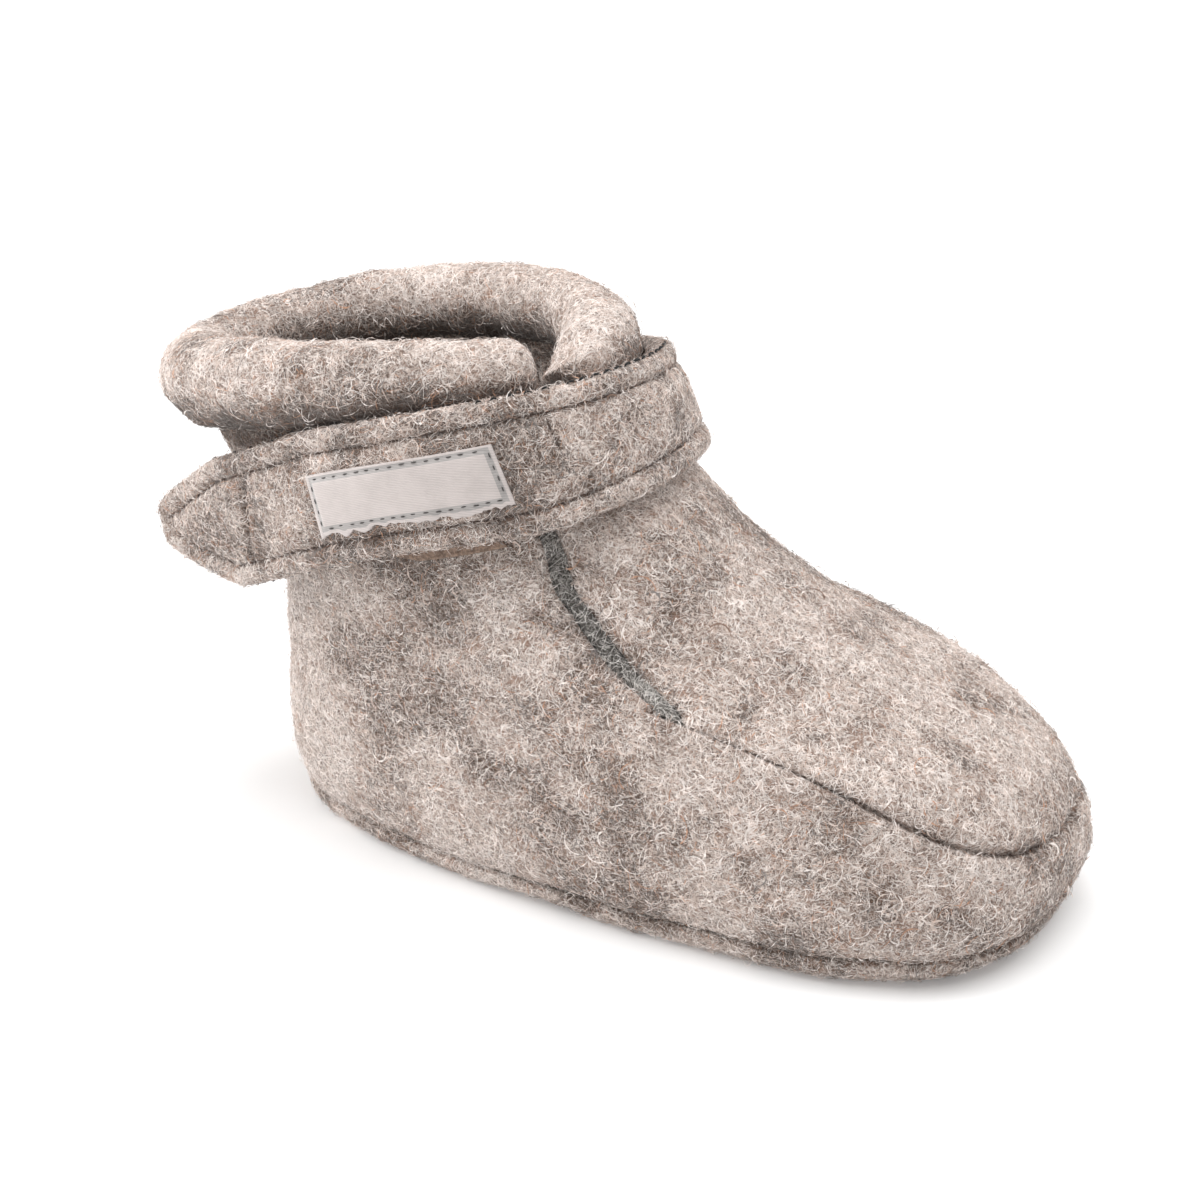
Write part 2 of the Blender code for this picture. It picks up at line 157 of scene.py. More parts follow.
def bell(distance: Array, width: float) -> Array:
    """Return 1 at no distance, falling off smoothly over a width."""
    return np.exp(-((distance / width) ** 2))


def run_along(line: Array) -> Array:
    """Return how far along a line of points each of them lies."""
    return np.concatenate(([0.0], np.cumsum(np.linalg.norm(np.diff(line, axis=0), axis=1))))


def smooth_rows(table: Array, place: Array) -> Array:
    """Read a table between its rows, along a smooth curve through them.

    Args:
        table: rows of numbers.
        place: places in row numbers, in any shape.

    Returns:
        The numbers at each place, with the columns on the last axis.
    """
    place = np.asarray(place, float)
    index = np.clip(np.floor(place).astype(int), 0, len(table) - 2)
    part = (place - index)[..., None]
    here, there = table[index], table[index + 1]
    first, last = (index == 0)[..., None], (index + 2 == len(table))[..., None]
    before = np.where(first, 2 * here - there, table[np.maximum(index - 1, 0)])
    after = np.where(last, 2 * there - here, table[np.minimum(index + 2, len(table) - 1)])
    return 0.5 * (
        2 * here
        + (there - before) * part
        + (2 * before - 5 * here + 4 * there - after) * part ** 2
        + (3 * here - before - 3 * there + after) * part ** 3
    )


@dataclass(frozen=True)
class Last:
    """The form that the boot is made on."""

    foot_length: float = 124.0
    ball_width: float = 60.0
    heel_height: float = 42.5
    instep_height: float = 48.3
    wall: float = 3.0
    toe_swing: float = 3.0
    swing_start: float = 60.0
    seam_low: float = 2.91
    seam_rise: float = 0.74
    rim_level: float = 9.0

    def skin(self, turn: Array, level: Array) -> Array:
        """Find points of the wall's outer face.

        Args:
            turn: turns in degrees.
            level: levels, in a shape that goes with the turns.

        Returns:
            The points, with x, y and z on the last axis.
        """
        turn, level = np.broadcast_arrays(np.asarray(turn, float), np.asarray(level, float))
        rows = np.moveaxis(smooth_rows(np.array(SECTIONS, float), level), -1, 0)
        back, front, rear_high, front_high, rise, wide, widest, toe_power, heel_power = rows
        back, front = back * self.foot_length, front * self.foot_length
        middle = back + widest * (front - back)
        cosine, sine = np.cos(np.radians(turn)), np.sin(np.radians(turn))
        power = np.where(cosine >= 0, toe_power, heel_power)
        reach = np.where(cosine >= 0, front - middle, middle - back)
        bulge = (np.abs(cosine) ** power + np.abs(sine) ** power) ** (-1 / power)
        x = middle + reach * bulge * cosine
        y = -0.5 * wide * self.ball_width * bulge * sine
        swing = (x - self.swing_start) / (self.foot_length - self.swing_start)
        y = y + self.toe_swing * np.maximum(swing, 0.0) ** 2
        along = (x - back) / (front - back)
        low, high = rear_high * self.heel_height, front_high * self.instep_height
        z = low + (high - low) * along + rise * self.instep_height * 4 * along * (1 - along)
        return np.stack((x, y, z), axis=-1)

    def outward(self, turn: Array, level: Array) -> Array:
        """Find the directions that point straight out of the wall.

        Args:
            turn: turns in degrees.
            level: levels, in a shape that goes with the turns.

        Returns:
            Directions of length one.
        """
        level = np.asarray(level, float)
        around = self.skin(turn + 0.5, level) - self.skin(turn - 0.5, level)
        rising = self.skin(turn, level + 0.03) - self.skin(turn, np.maximum(level - 0.03, 0.0))
        return unit(np.cross(rising, around))

    def upward(self, turn: Array, level: Array) -> Array:
        """Return the directions that run up the wall, square to its turn."""
        around = self.skin(turn + 0.5, level) - self.skin(turn - 0.5, level)
        return unit(np.cross(around, self.outward(turn, level)))

    def off_wall(self, turn: Array, level: Array, distance: Array) -> Array:
        """Return points at a distance out from the wall, or into it where that is negative."""
        return self.skin(turn, level) + np.asarray(distance)[..., None] * self.outward(turn, level)

    def way_in(self, turn: Array, level: Array) -> Array:
        """Find the directions through the wall to its lining, eased over the bend above the vamp seam.

        Args:
            turn: turns in degrees.
            level: levels, in a shape that goes with the turns.

        Returns:
            Directions of length one.
        """
        level = np.asarray(level, float)
        ease = np.interp(level, (2.8, 3.5, 5.0, 5.8), (0.0, 0.7, 0.7, 0.0))
        ways = [self.outward(turn, level + ease * part) for part in (-1.0, -0.5, 0.0, 0.5, 1.0)]
        return -unit(np.sum(ways, axis=0))

    def turn_rate(self, turn: Array, level: Array) -> Array:
        """Return how many millimetres one degree of turn covers."""
        return np.linalg.norm(self.skin(turn + 0.5, level) - self.skin(turn - 0.5, level), axis=-1)

    def level_rate(self, turn: Array, level: Array, way: float) -> Array:
        """Return how many millimetres one level covers, just above (way 1) or below (way -1) a level."""
        step = 0.3 * way
        return np.linalg.norm(self.skin(turn, level + step) - self.skin(turn, level), axis=-1) / 0.3

    def seam(self, turn: Array) -> Array:
        """Return the level of the vamp seam at turns: low round the toe, rising to the opening."""
        return self.seam_low + self.seam_rise * smooth_step(30.0, 84.0, self.from_toe(turn))

    def from_toe(self, turn: Array) -> Array:
        """Return how far turns are from the toe, to either side."""
        return np.abs((np.asarray(turn, float) + 180.0) % 360.0 - 180.0)

    def slit_turn(self, level: Array) -> Array:
        """Return the turn of the opening's middle line at a level."""
        return np.interp(level, SLIT_LINE[:, 0], SLIT_LINE[:, 1])

    def slit_half(self, level: Array) -> Array:
        """Return half the opening's width at a level."""
        return np.interp(level, SLIT_LINE[:, 0], SLIT_LINE[:, 2])

    def outline(self, turn: Array, inset: Array) -> Array:
        """Find points of the sole seam, moved in level from its outline.

        Args:
            turn: turns in degrees.
            inset: distances to move, in millimetres.

        Returns:
            The moved points.
        """
        around = self.skin(turn + 0.5, 0.0) - self.skin(turn - 0.5, 0.0)
        inward = unit(np.stack((around[..., 1], -around[..., 0], np.zeros_like(around[..., 0])), axis=-1))
        return self.skin(turn, 0.0) + np.asarray(inset)[..., None] * inward


@dataclass
class Lumps:
    """A smooth random field, the same on each run."""

    seed: int
    cells: int = 24
    values: Array = field(init=False)

    def __post_init__(self) -> None:
        """Draw the field's values."""
        self.values = np.random.default_rng(self.seed).uniform(-1.0, 1.0, (self.cells,) * 3)

    def at(self, points: Array, size: float) -> Array:
        """Read the field.

        Args:
            points: places in millimetres.
            size: distance between the field's values, in millimetres.

        Returns:
            Numbers between -1 and 1.
        """
        place = points / size + 0.37
        low = np.floor(place).astype(int)
        part = place - low
        part = part * part * (3.0 - 2.0 * part)
        total = np.zeros(points.shape[:-1])
        for corner in np.ndindex(2, 2, 2):
            share = np.prod(np.where(np.array(corner) == 1, part, 1.0 - part), axis=-1)
            index = np.moveaxis((low + np.array(corner)) % self.cells, -1, 0)
            total = total + share * self.values[tuple(index)]
        return total


@dataclass
class Patch:
    """Places on a surface where fibres grow."""

    points: Array
    normals: Array
    tone: Array


@dataclass
class Shell:
    """A closed surface: points, faces, the number of each face's finish, and where no hair grows."""

    points: Array
    faces: list[Face]
    slots: list[int]
    tone: Array
    bare: Array | None = None

    def triangles(self) -> tuple[Array, Array]:
        """Split the faces into triangles.

        Returns:
            The triangles' corners, and the number of the face that each comes from.
        """
        corners, source = [], []
        for number, face in enumerate(self.faces):
            for last in range(2, len(face)):
                corners.append((face[0], face[last - 1], face[last]))
                source.append(number)
        return np.array(corners), np.array(source)

    def face_out(self) -> None:
        """Turn the faces round if the surface is inside out."""
        corners, _ = self.triangles()
        a, b, c = (self.points[corners[:, k]] for k in range(3))
        if np.einsum("ij,ij->i", a, np.cross(b, c)).sum() < 0:
            self.faces = [tuple(reversed(face)) for face in self.faces]

    def sample(self, per_mm2: float, slots: Sequence[int], rng: np.random.Generator) -> Patch:
        """Spread places evenly over the faces that have some finishes.

        Args:
            per_mm2: places on each square millimetre.
            slots: finishes that take part.
            rng: source of the random numbers.

        Returns:
            The places.
        """
        corners, source = self.triangles()
        corners = corners[np.isin(np.array(self.slots)[source], list(slots))]
        a, b, c = (self.points[corners[:, k]] for k in range(3))
        cross = np.cross(b - a, c - a)
        area = 0.5 * np.linalg.norm(cross, axis=1)
        point_normals = np.zeros_like(self.points)
        for k in range(3):
            np.add.at(point_normals, corners[:, k], cross)
        count = int(per_mm2 * area.sum())
        chosen = rng.choice(len(corners), count, p=area / area.sum())
        first, second = rng.random(count), rng.random(count)
        over = first + second > 1
        first[over], second[over] = 1 - first[over], 1 - second[over]
        weights = np.stack((1 - first - second, first, second), axis=1)
        pick = corners[chosen]
        if self.bare is not None:
            kept = rng.random(count) >= np.einsum("ij,ij->i", weights, self.bare[pick])
            weights, pick = weights[kept], pick[kept]
        return Patch(
            np.einsum("ij,ijk->ik", weights, self.points[pick]),
            unit(np.einsum("ij,ijk->ik", weights, unit(point_normals)[pick])),
            np.einsum("ij,ij->i", weights, self.tone[pick]),
        )


def grid_faces(rows: int, columns: int, start: int = 0, wrap: bool = False) -> list[Face]:
    """Number the cells of a grid of points.

    Args:
        rows: rows of points.
        columns: points in a row.
        start: number of the first point.
        wrap: whether the last column joins the first.

    Returns:
        The four corners of each cell, row by row.
    """
    faces = []
    for row in range(rows - 1):
        for column in range(columns if wrap else columns - 1):
            here, beside = start + row * columns, (column + 1) % columns
            faces.append((here + column, here + columns + column, here + columns + beside, here + beside))
    return faces


def tube_faces(rows: int, columns: int, start: int = 0) -> list[Face]:
    """Number the faces of a tube that is closed at both ends.

    Args:
        rows: rings of points.
        columns: points in a ring.
        start: number of the first point.

    Returns:
        The cells between the rings, then the two ends.
    """
    first = tuple(range(start, start + columns))
    last = tuple(reversed(range(start + (rows - 1) * columns, start + rows * columns)))
    return [*grid_faces(rows, columns, start, True), first, last]


def closed_sheet(faces: list[Face], step: int) -> list[Face]:
    """Close a sheet with a second one behind it.

    Args:
        faces: faces of the front sheet.
        step: how much further the second sheet's points are numbered.

    Returns:
        The front faces, the back faces in the same order, and those that join the open edges.
    """
    back = [tuple(corner + step for corner in reversed(face)) for face in faces]
    edges = [edge for face in faces for edge in zip(face, face[1:] + face[:1])]
    uses = Counter(frozenset(edge) for edge in edges)
    rim = [(b, a, a + step, b + step) for a, b in edges if uses[frozenset((a, b))] == 1]
    return faces + back + rim


class Nodes:
    """Small helper that adds and joins a material's nodes."""

    def __init__(self, name: str) -> None:
        """Start a material that has only its shader.

        Args:
            name: name of the material.
        """
        self.material = bpy.data.materials.new(name)
        self.material.use_nodes = True
        self.tree = self.material.node_tree
        self.shader = self.tree.nodes["Principled BSDF"]

    def add(self, kind: str, **values: object) -> bpy.types.Node:
        """Add a node and set its properties.

        Args:
            kind: the node's type.
            values: properties to set, by name.

        Returns:
            The new node.
        """
        node = self.tree.nodes.new(kind)
        for key, value in values.items():
            setattr(node, key, value)
        return node

    def join(self, source: Socket, target: Socket) -> None:
        """Link two sockets."""
        self.tree.links.new(source, target)

    def colour(self, source: Socket) -> None:
        """Give the shader its colour."""
        self.join(source, self.shader.inputs["Base Color"])

    def noise(self, scale: float, detail: float = 2.0, roughness: float = 0.6) -> Socket:
        """Add a noise over the object's own coordinates.

        Args:
            scale: how fine the noise is.
            detail: how many finer layers it has.
            roughness: how strong those are.

        Returns:
            The noise's value.
        """
        place = self.add("ShaderNodeTexCoord")
        node = self.add("ShaderNodeTexNoise")
        node.inputs["Scale"].default_value = scale
        node.inputs["Detail"].default_value = detail
        node.inputs["Roughness"].default_value = roughness
        self.join(place.outputs["Object"], node.inputs["Vector"])
        return node.outputs["Fac"]

    def strand(self, scale: float, turn: float, width: float = 0.03) -> Socket:
        """Add thin wavy lines, where a noise drawn out one way passes its middle value.

        Args:
            scale: how fine the noise is.
            turn: number that turns and moves the noise.
            width: width of the lines, as a span of the noise.

        Returns:
            A mask of the lines.
        """
        place = self.add("ShaderNodeTexCoord")
        drawn = self.add("ShaderNodeMapping", vector_type="TEXTURE")
        drawn.inputs["Location"].default_value = (turn, 1.3 * turn, -0.7 * turn)
        drawn.inputs["Rotation"].default_value = (turn, 1.7 * turn, 2.3 * turn)
        drawn.inputs["Scale"].default_value = (2.4, 1.0, 1.0)
        node = self.add("ShaderNodeTexNoise")
        node.inputs["Scale"].default_value = scale
        node.inputs["Detail"].default_value = 1.0
        node.inputs["Distortion"].default_value = 0.5
        self.join(place.outputs["Object"], drawn.inputs["Vector"])
        self.join(drawn.outputs["Vector"], node.inputs["Vector"])
        away = self.math("ABSOLUTE", self.math("SUBTRACT", node.outputs["Fac"], 0.5), 0.0)
        return self.ease(away, (0.0, width), (1.0, 0.0))

    def ease(
        self,
        value: Socket,
        span: tuple[float, float],
        ends: tuple[float, float],
    ) -> Socket:
        """Ease a value's span into new ends.

        Args:
            value: the value.
            span: its lowest and highest number.
            ends: the numbers that these become.

        Returns:
            The eased value.
        """
        node = self.add("ShaderNodeMapRange", interpolation_type="SMOOTHSTEP")
        for key, number in zip(("From Min", "From Max", "To Min", "To Max"), (*span, *ends)):
            node.inputs[key].default_value = number
        self.join(value, node.inputs["Value"])
        return node.outputs["Result"]

    def mix(self, share: Socket, first: Socket, second: Colour) -> Socket:
        """Mix a plain colour over another one.

        Args:
            share: how much of the plain colour shows.
            first: the colour below.
            second: the plain colour.

        Returns:
            The mixed colour.
        """
        node = self.add("ShaderNodeMix", data_type="RGBA")
        self.join(share, node.inputs["Factor"])
        self.join(first, node.inputs[6])
        node.inputs[7].default_value = (*second, 1.0)
        return node.outputs[2]

    def math(self, kind: str, first: object, second: object, third: float = 0.0) -> Socket:
        """Add a sum on sockets or numbers.

        Args:
            kind: the sum's name.
            first: first socket or number.
            second: second socket or number.
            third: third number, where the sum has one.

        Returns:
            The sum's result.
        """
        node = self.add("ShaderNodeMath", operation=kind)
        for socket, value in zip(node.inputs, (first, second, third)):
            if isinstance(value, Socket):
                self.join(value, socket)
            else:
                socket.default_value = value
        return node.outputs[0]

    def ramp(self, value: Socket, stops: Sequence[tuple[float, Colour]]) -> Socket:
        """Add a colour ramp.

        Args:
            value: the value to colour.
            stops: places on the ramp and their colours.

        Returns:
            The ramp's colour.
        """
        node = self.add("ShaderNodeValToRGB")
        elements = node.color_ramp.elements
        while len(elements) < len(stops):
            elements.new(0.5)
        for element, (position, colour) in zip(elements, stops):
            element.position = position
            element.color = (*colour, 1.0)
        self.join(value, node.inputs["Fac"])
        return node.outputs["Color"]

    def bump(self, height: Socket, strength: float, distance: float) -> None:
        """Give the shader a relief.

        Args:
            height: the relief's shape.
            strength: its strength.
            distance: its height in millimetres.
        """
        node = self.add("ShaderNodeBump")
        node.inputs["Strength"].default_value = strength
        node.inputs["Distance"].default_value = distance * MM
        self.join(height, node.inputs["Height"])
        self.join(node.outputs["Normal"], self.shader.inputs["Normal"])

    def surface(self, roughness: float, specular: float = 0.2, sheen: float = 0.0) -> None:
        """Set the shader's plain numbers.

        Args:
            roughness: how dull the surface is.
            specular: how strongly it mirrors.
            sheen: how much soft light its edges catch.
        """
        self.shader.inputs["Roughness"].default_value = roughness
        self.shader.inputs["Specular IOR Level"].default_value = specular
        self.shader.inputs["Sheen Weight"].default_value = sheen
        self.shader.inputs["Sheen Roughness"].default_value = 0.45


@dataclass(frozen=True)
class Finish:
    """A material of the boot or of the studio."""

    name: str

    def paint(self, nodes: Nodes) -> None:
        """Add the finish's nodes."""
        raise NotImplementedError

    def make(self) -> Material:
        """Make the finish.

        Returns:
            The new material.
        """
        nodes = Nodes(self.name)
        self.paint(nodes)
        return nodes.material


@dataclass(frozen=True)
class FeltFinish(Finish):
    """Felted wool below its loose hairs: a mottled ground with wavy strands matted into it."""

    deep: Colour
    middle: Colour
    strands: tuple[tuple[Colour, float, float], ...]
    fleck: Colour
    relief: float = 0.7
    patches: float = 0.38

    def paint(self, nodes: Nodes) -> None:
        """Mix the mottled ground, the strands and the flecks.

        Args:
            nodes: nodes of the new material.
        """
        clump = nodes.noise(420.0, 3.0, 0.6)
        # The tone attribute carries each piece's colour patches and its painted shade and highlight
        tone = nodes.add("ShaderNodeAttribute", attribute_name="tone").outputs["Fac"]
        mixed = nodes.math("ADD", clump, nodes.math("MULTIPLY", tone, self.patches))
        colour = nodes.ramp(mixed, ((0.3, self.deep), (0.68, self.middle)))
        height = nodes.math("MULTIPLY", clump, 0.6)
        for number, (strand, scale, cover) in enumerate(self.strands):
            line = nodes.strand(scale, 3.7 * (number + 1))
            shown = nodes.math("MULTIPLY", line, nodes.math("MULTIPLY_ADD", tone, 0.35 * cover, cover))
            colour = nodes.mix(shown, colour, strand)
            height = nodes.math("ADD", height, nodes.math("MULTIPLY", line, 0.4))
        fleck = nodes.ease(nodes.noise(330.0, 4.0, 0.75), (0.52, 0.70), (0.0, 0.72))
        colour = nodes.mix(fleck, colour, self.fleck)
        nodes.colour(colour)
        nodes.bump(height, self.relief, 0.25)
        nodes.surface(1.0, 0.0, 0.25)


@dataclass(frozen=True)
class HairFinish(Finish):
    """One colour of loose wool hair."""

    colour: Colour
    share: float

    def paint(self, nodes: Nodes) -> None:
        """Vary the hair's colour a little.

        Args:
            nodes: nodes of the new material.
        """
        dim = tuple(0.74 * value for value in self.colour)
        tint = nodes.ramp(nodes.noise(700.0, 1.0), ((0.3, dim), (0.62, self.colour)))
        nodes.colour(tint)
        nodes.surface(1.0, 0.0, 0.15)


@dataclass(frozen=True)
class ThreadFinish(Finish):
    """Sewing thread with a fine twist."""

    colour: Colour

    def paint(self, nodes: Nodes) -> None:
        """Darken the thread in a fine noise: painted shade between its twists.

        Args:
            nodes: nodes of the new material.
        """
        # Painted shade between the twists
        twist = nodes.noise(5200.0, 1.0)
        dim = tuple(0.6 * value for value in self.colour)
        nodes.colour(nodes.ramp(twist, ((0.35, dim), (0.65, self.colour))))
        nodes.surface(0.7, 0.3)


@dataclass(frozen=True)
class SatinFinish(Finish):
    """Plain woven satin of the label."""

    colour: Colour
    shade: Colour

    def paint(self, nodes: Nodes) -> None:
        """Draw the weave and its soft shading.

        Args:
            nodes: nodes of the new material.
        """
        place = nodes.add("ShaderNodeTexCoord")
        weave = nodes.add("ShaderNodeTexWave", wave_type="BANDS", bands_direction="Z")
        weave.inputs["Scale"].default_value = 900.0
        weave.inputs["Distortion"].default_value = 1.5
        nodes.join(place.outputs["Object"], weave.inputs["Vector"])
        cloud = nodes.noise(260.0, 3.0)
        mixed = nodes.math("ADD", nodes.math("MULTIPLY", weave.outputs["Fac"], 0.3), cloud)
        nodes.colour(nodes.ramp(mixed, ((0.35, self.shade), (0.8, self.colour))))
        nodes.bump(weave.outputs["Fac"], 0.25, 0.1)
        nodes.surface(0.45, 0.4, 0.2)


@dataclass(frozen=True)
class HookTapeFinish(Finish):
    """Hook-and-loop tape with its small loops."""

    colour: Colour
    shade: Colour

    def paint(self, nodes: Nodes) -> None:
        """Draw the small loops.

        Args:
            nodes: nodes of the new material.
        """
        loops = nodes.noise(1900.0, 1.0)
        nodes.colour(nodes.ramp(loops, ((0.35, self.shade), (0.65, self.colour))))
        nodes.bump(loops, 0.8, 0.4)
        nodes.surface(0.7, 0.3)


@dataclass(frozen=True)
class FloorFinish(Finish):
    """Plain pale studio floor, lit a little from below."""

    colour: Colour
    glow: float = 0.12

    def paint(self, nodes: Nodes) -> None:
        """Set the floor's colour and glow.

        Args:
            nodes: nodes of the new material.
        """
        nodes.shader.inputs["Base Color"].default_value = (*self.colour, 1.0)
        nodes.shader.inputs["Emission Color"].default_value = (1.0, 1.0, 1.0, 1.0)
        nodes.shader.inputs["Emission Strength"].default_value = self.glow
        nodes.surface(0.9, 0.1)


WOOL_STRANDS = (
    ((0.15, 0.107, 0.086), 840.0, 0.85),
    ((0.55, 0.445, 0.39), 1010.0, 0.8),
    ((0.20, 0.143, 0.115), 1130.0, 0.85),
    ((0.76, 0.65, 0.588), 900.0, 0.85),
    ((0.13, 0.093, 0.075), 980.0, 0.65),
    ((0.70, 0.588, 0.525), 1180.0, 0.85),
    ((0.86, 0.76, 0.702), 870.0, 0.88),
    ((0.96, 0.882, 0.836), 1060.0, 0.92),
)
GREY_STRANDS = (
    ((0.075, 0.069, 0.063), 840.0, 0.8),
    ((0.32, 0.297, 0.275), 1010.0, 0.8),
    ((0.14, 0.13, 0.12), 1130.0, 0.7),
    ((0.54, 0.51, 0.48), 930.0, 0.8),
)
WOOL = FeltFinish("wool_felt", (0.12, 0.085, 0.068), (0.45, 0.36, 0.314), WOOL_STRANDS, (0.37, 0.23, 0.168))
GREY_FELT = FeltFinish("grey_felt", (0.075, 0.07, 0.064), (0.20, 0.187, 0.172), GREY_STRANDS, (0.13, 0.12, 0.11))
SATIN = SatinFinish("label_satin", (0.67, 0.601, 0.576), (0.545, 0.488, 0.466))
GREY_SATIN = SatinFinish("label_border", (0.47, 0.44, 0.425), (0.33, 0.31, 0.30))
BLACK_THREAD = ThreadFinish("black_thread", (0.025, 0.025, 0.025))
DARK_THREAD = ThreadFinish("dark_thread", (0.10, 0.092, 0.087))
BROWN_THREAD = ThreadFinish("brown_thread", (0.13, 0.095, 0.08))
HOOK_TAPE = HookTapeFinish("hook_tape", (0.32, 0.225, 0.17), (0.17, 0.118, 0.09))
FLOOR = FloorFinish("studio_floor", (0.90, 0.90, 0.90))

WOOL_HAIR = (
    HairFinish("hair_grey", (0.27, 0.242, 0.226), 0.09),
    HairFinish("hair_brown", (0.30, 0.206, 0.162), 0.12),
    HairFinish("hair_rust", (0.60, 0.36, 0.25), 0.045),
    HairFinish("hair_beige", (0.73, 0.61, 0.545), 0.305),
    HairFinish("hair_cream", (0.95, 0.872, 0.826), 0.44),
)
GREY_HAIR = (
    HairFinish("lining_hair_dark", (0.13, 0.12, 0.11), 0.22),
    HairFinish("lining_hair_grey", (0.38, 0.355, 0.33), 0.36),
    HairFinish("lining_hair_pale", (0.76, 0.725, 0.69), 0.42),
)


@dataclass
class Workbench:
    """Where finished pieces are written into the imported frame."""

    shift: Array
    materials: dict[str, Material] = field(default_factory=dict)

    def finish(self, finish: Finish) -> Material:
        """Make a finish once and keep it.

        Args:
            finish: the finish.

        Returns:
            Its material.
        """
        if finish.name not in self.materials:
            self.materials[finish.name] = finish.make()
        return self.materials[finish.name]

    def metres(self, points: Array) -> Array:
        """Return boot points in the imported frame."""
        return (points + self.shift) * MM

    def put(
        self,
        name: str,
        mesh: bpy.types.Mesh,
        finishes: Sequence[Finish],
        slot: Slot,
        nodes: Sequence[str] = (),
    ) -> bpy.types.Object:
        """Add a mesh as a piece of the boot.

        Args:
            name: the piece's name.
            mesh: its mesh.
            finishes: finishes in the order of the mesh's face numbers.
            slot: material slot of the record; not used.
            nodes: solids that the piece stands for.

        Returns:
            The new object.
        """
        for finish in finishes:
            mesh.materials.append(self.finish(finish))
        made = bpy.data.objects.new(name, mesh)
        bpy.context.scene.collection.objects.link(made)
        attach(made, "root")
        if nodes:
            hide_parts(*nodes)
        log.info("%s: %d faces", name, len(mesh.polygons))
        return made

    def put_shell(
        self,
        name: str,
        shell: Shell,
        finishes: Sequence[Finish],
        slot: Slot,
        nodes: Sequence[str] = (),
    ) -> bpy.types.Object:
        """Add a closed surface as a smooth piece, with its tone for the finish to read.

        Args:
            name: the piece's name.
            shell: its surface.
            finishes: finishes in the order of the shell's numbers.
            slot: material slot of the record.
            nodes: solids that the piece stands for.

        Returns:
            The new object.
        """
        shell.face_out()
        mesh = bpy.data.meshes.new(name)
        mesh.from_pydata(self.metres(shell.points).tolist(), [], shell.faces)
        mesh.polygons.foreach_set("material_index", shell.slots)
        mesh.polygons.foreach_set("use_smooth", [True] * len(shell.faces))
        tone = mesh.attributes.new("tone", "FLOAT", "POINT")
        tone.data.foreach_set("value", shell.tone.astype(np.float32))
        mesh.update()
        return self.put(name, mesh, finishes, slot, nodes)

    def put_triangles(
        self,
        name: str,
        points: Array,
        corners: Array,
        slots: Array,
        finishes: Sequence[Finish],
        slot: Slot,
    ) -> bpy.types.Object:
        """Add many small triangles as one piece.

        Args:
            name: the piece's name.
            points: corner points in millimetres.
            corners: three point numbers for each triangle.
            slots: number of each triangle's finish.
            finishes: finishes in the order of those numbers.
            slot: material slot of the record.

        Returns:
            The new object.
        """
        mesh = bpy.data.meshes.new(name)
        mesh.vertices.add(len(points))
        mesh.vertices.foreach_set("co", self.metres(points).astype(np.float32).ravel())
        mesh.loops.add(corners.size)
        mesh.loops.foreach_set("vertex_index", corners.astype(np.int32).ravel())
        mesh.polygons.add(len(corners))
        mesh.polygons.foreach_set("loop_start", np.arange(0, corners.size, 3, dtype=np.int32))
        mesh.polygons.foreach_set("material_index", slots.astype(np.int32))
        mesh.polygons.foreach_set("use_smooth", [False] * len(corners))
        mesh.update(calc_edges=True)
        return self.put(name, mesh, finishes, slot)


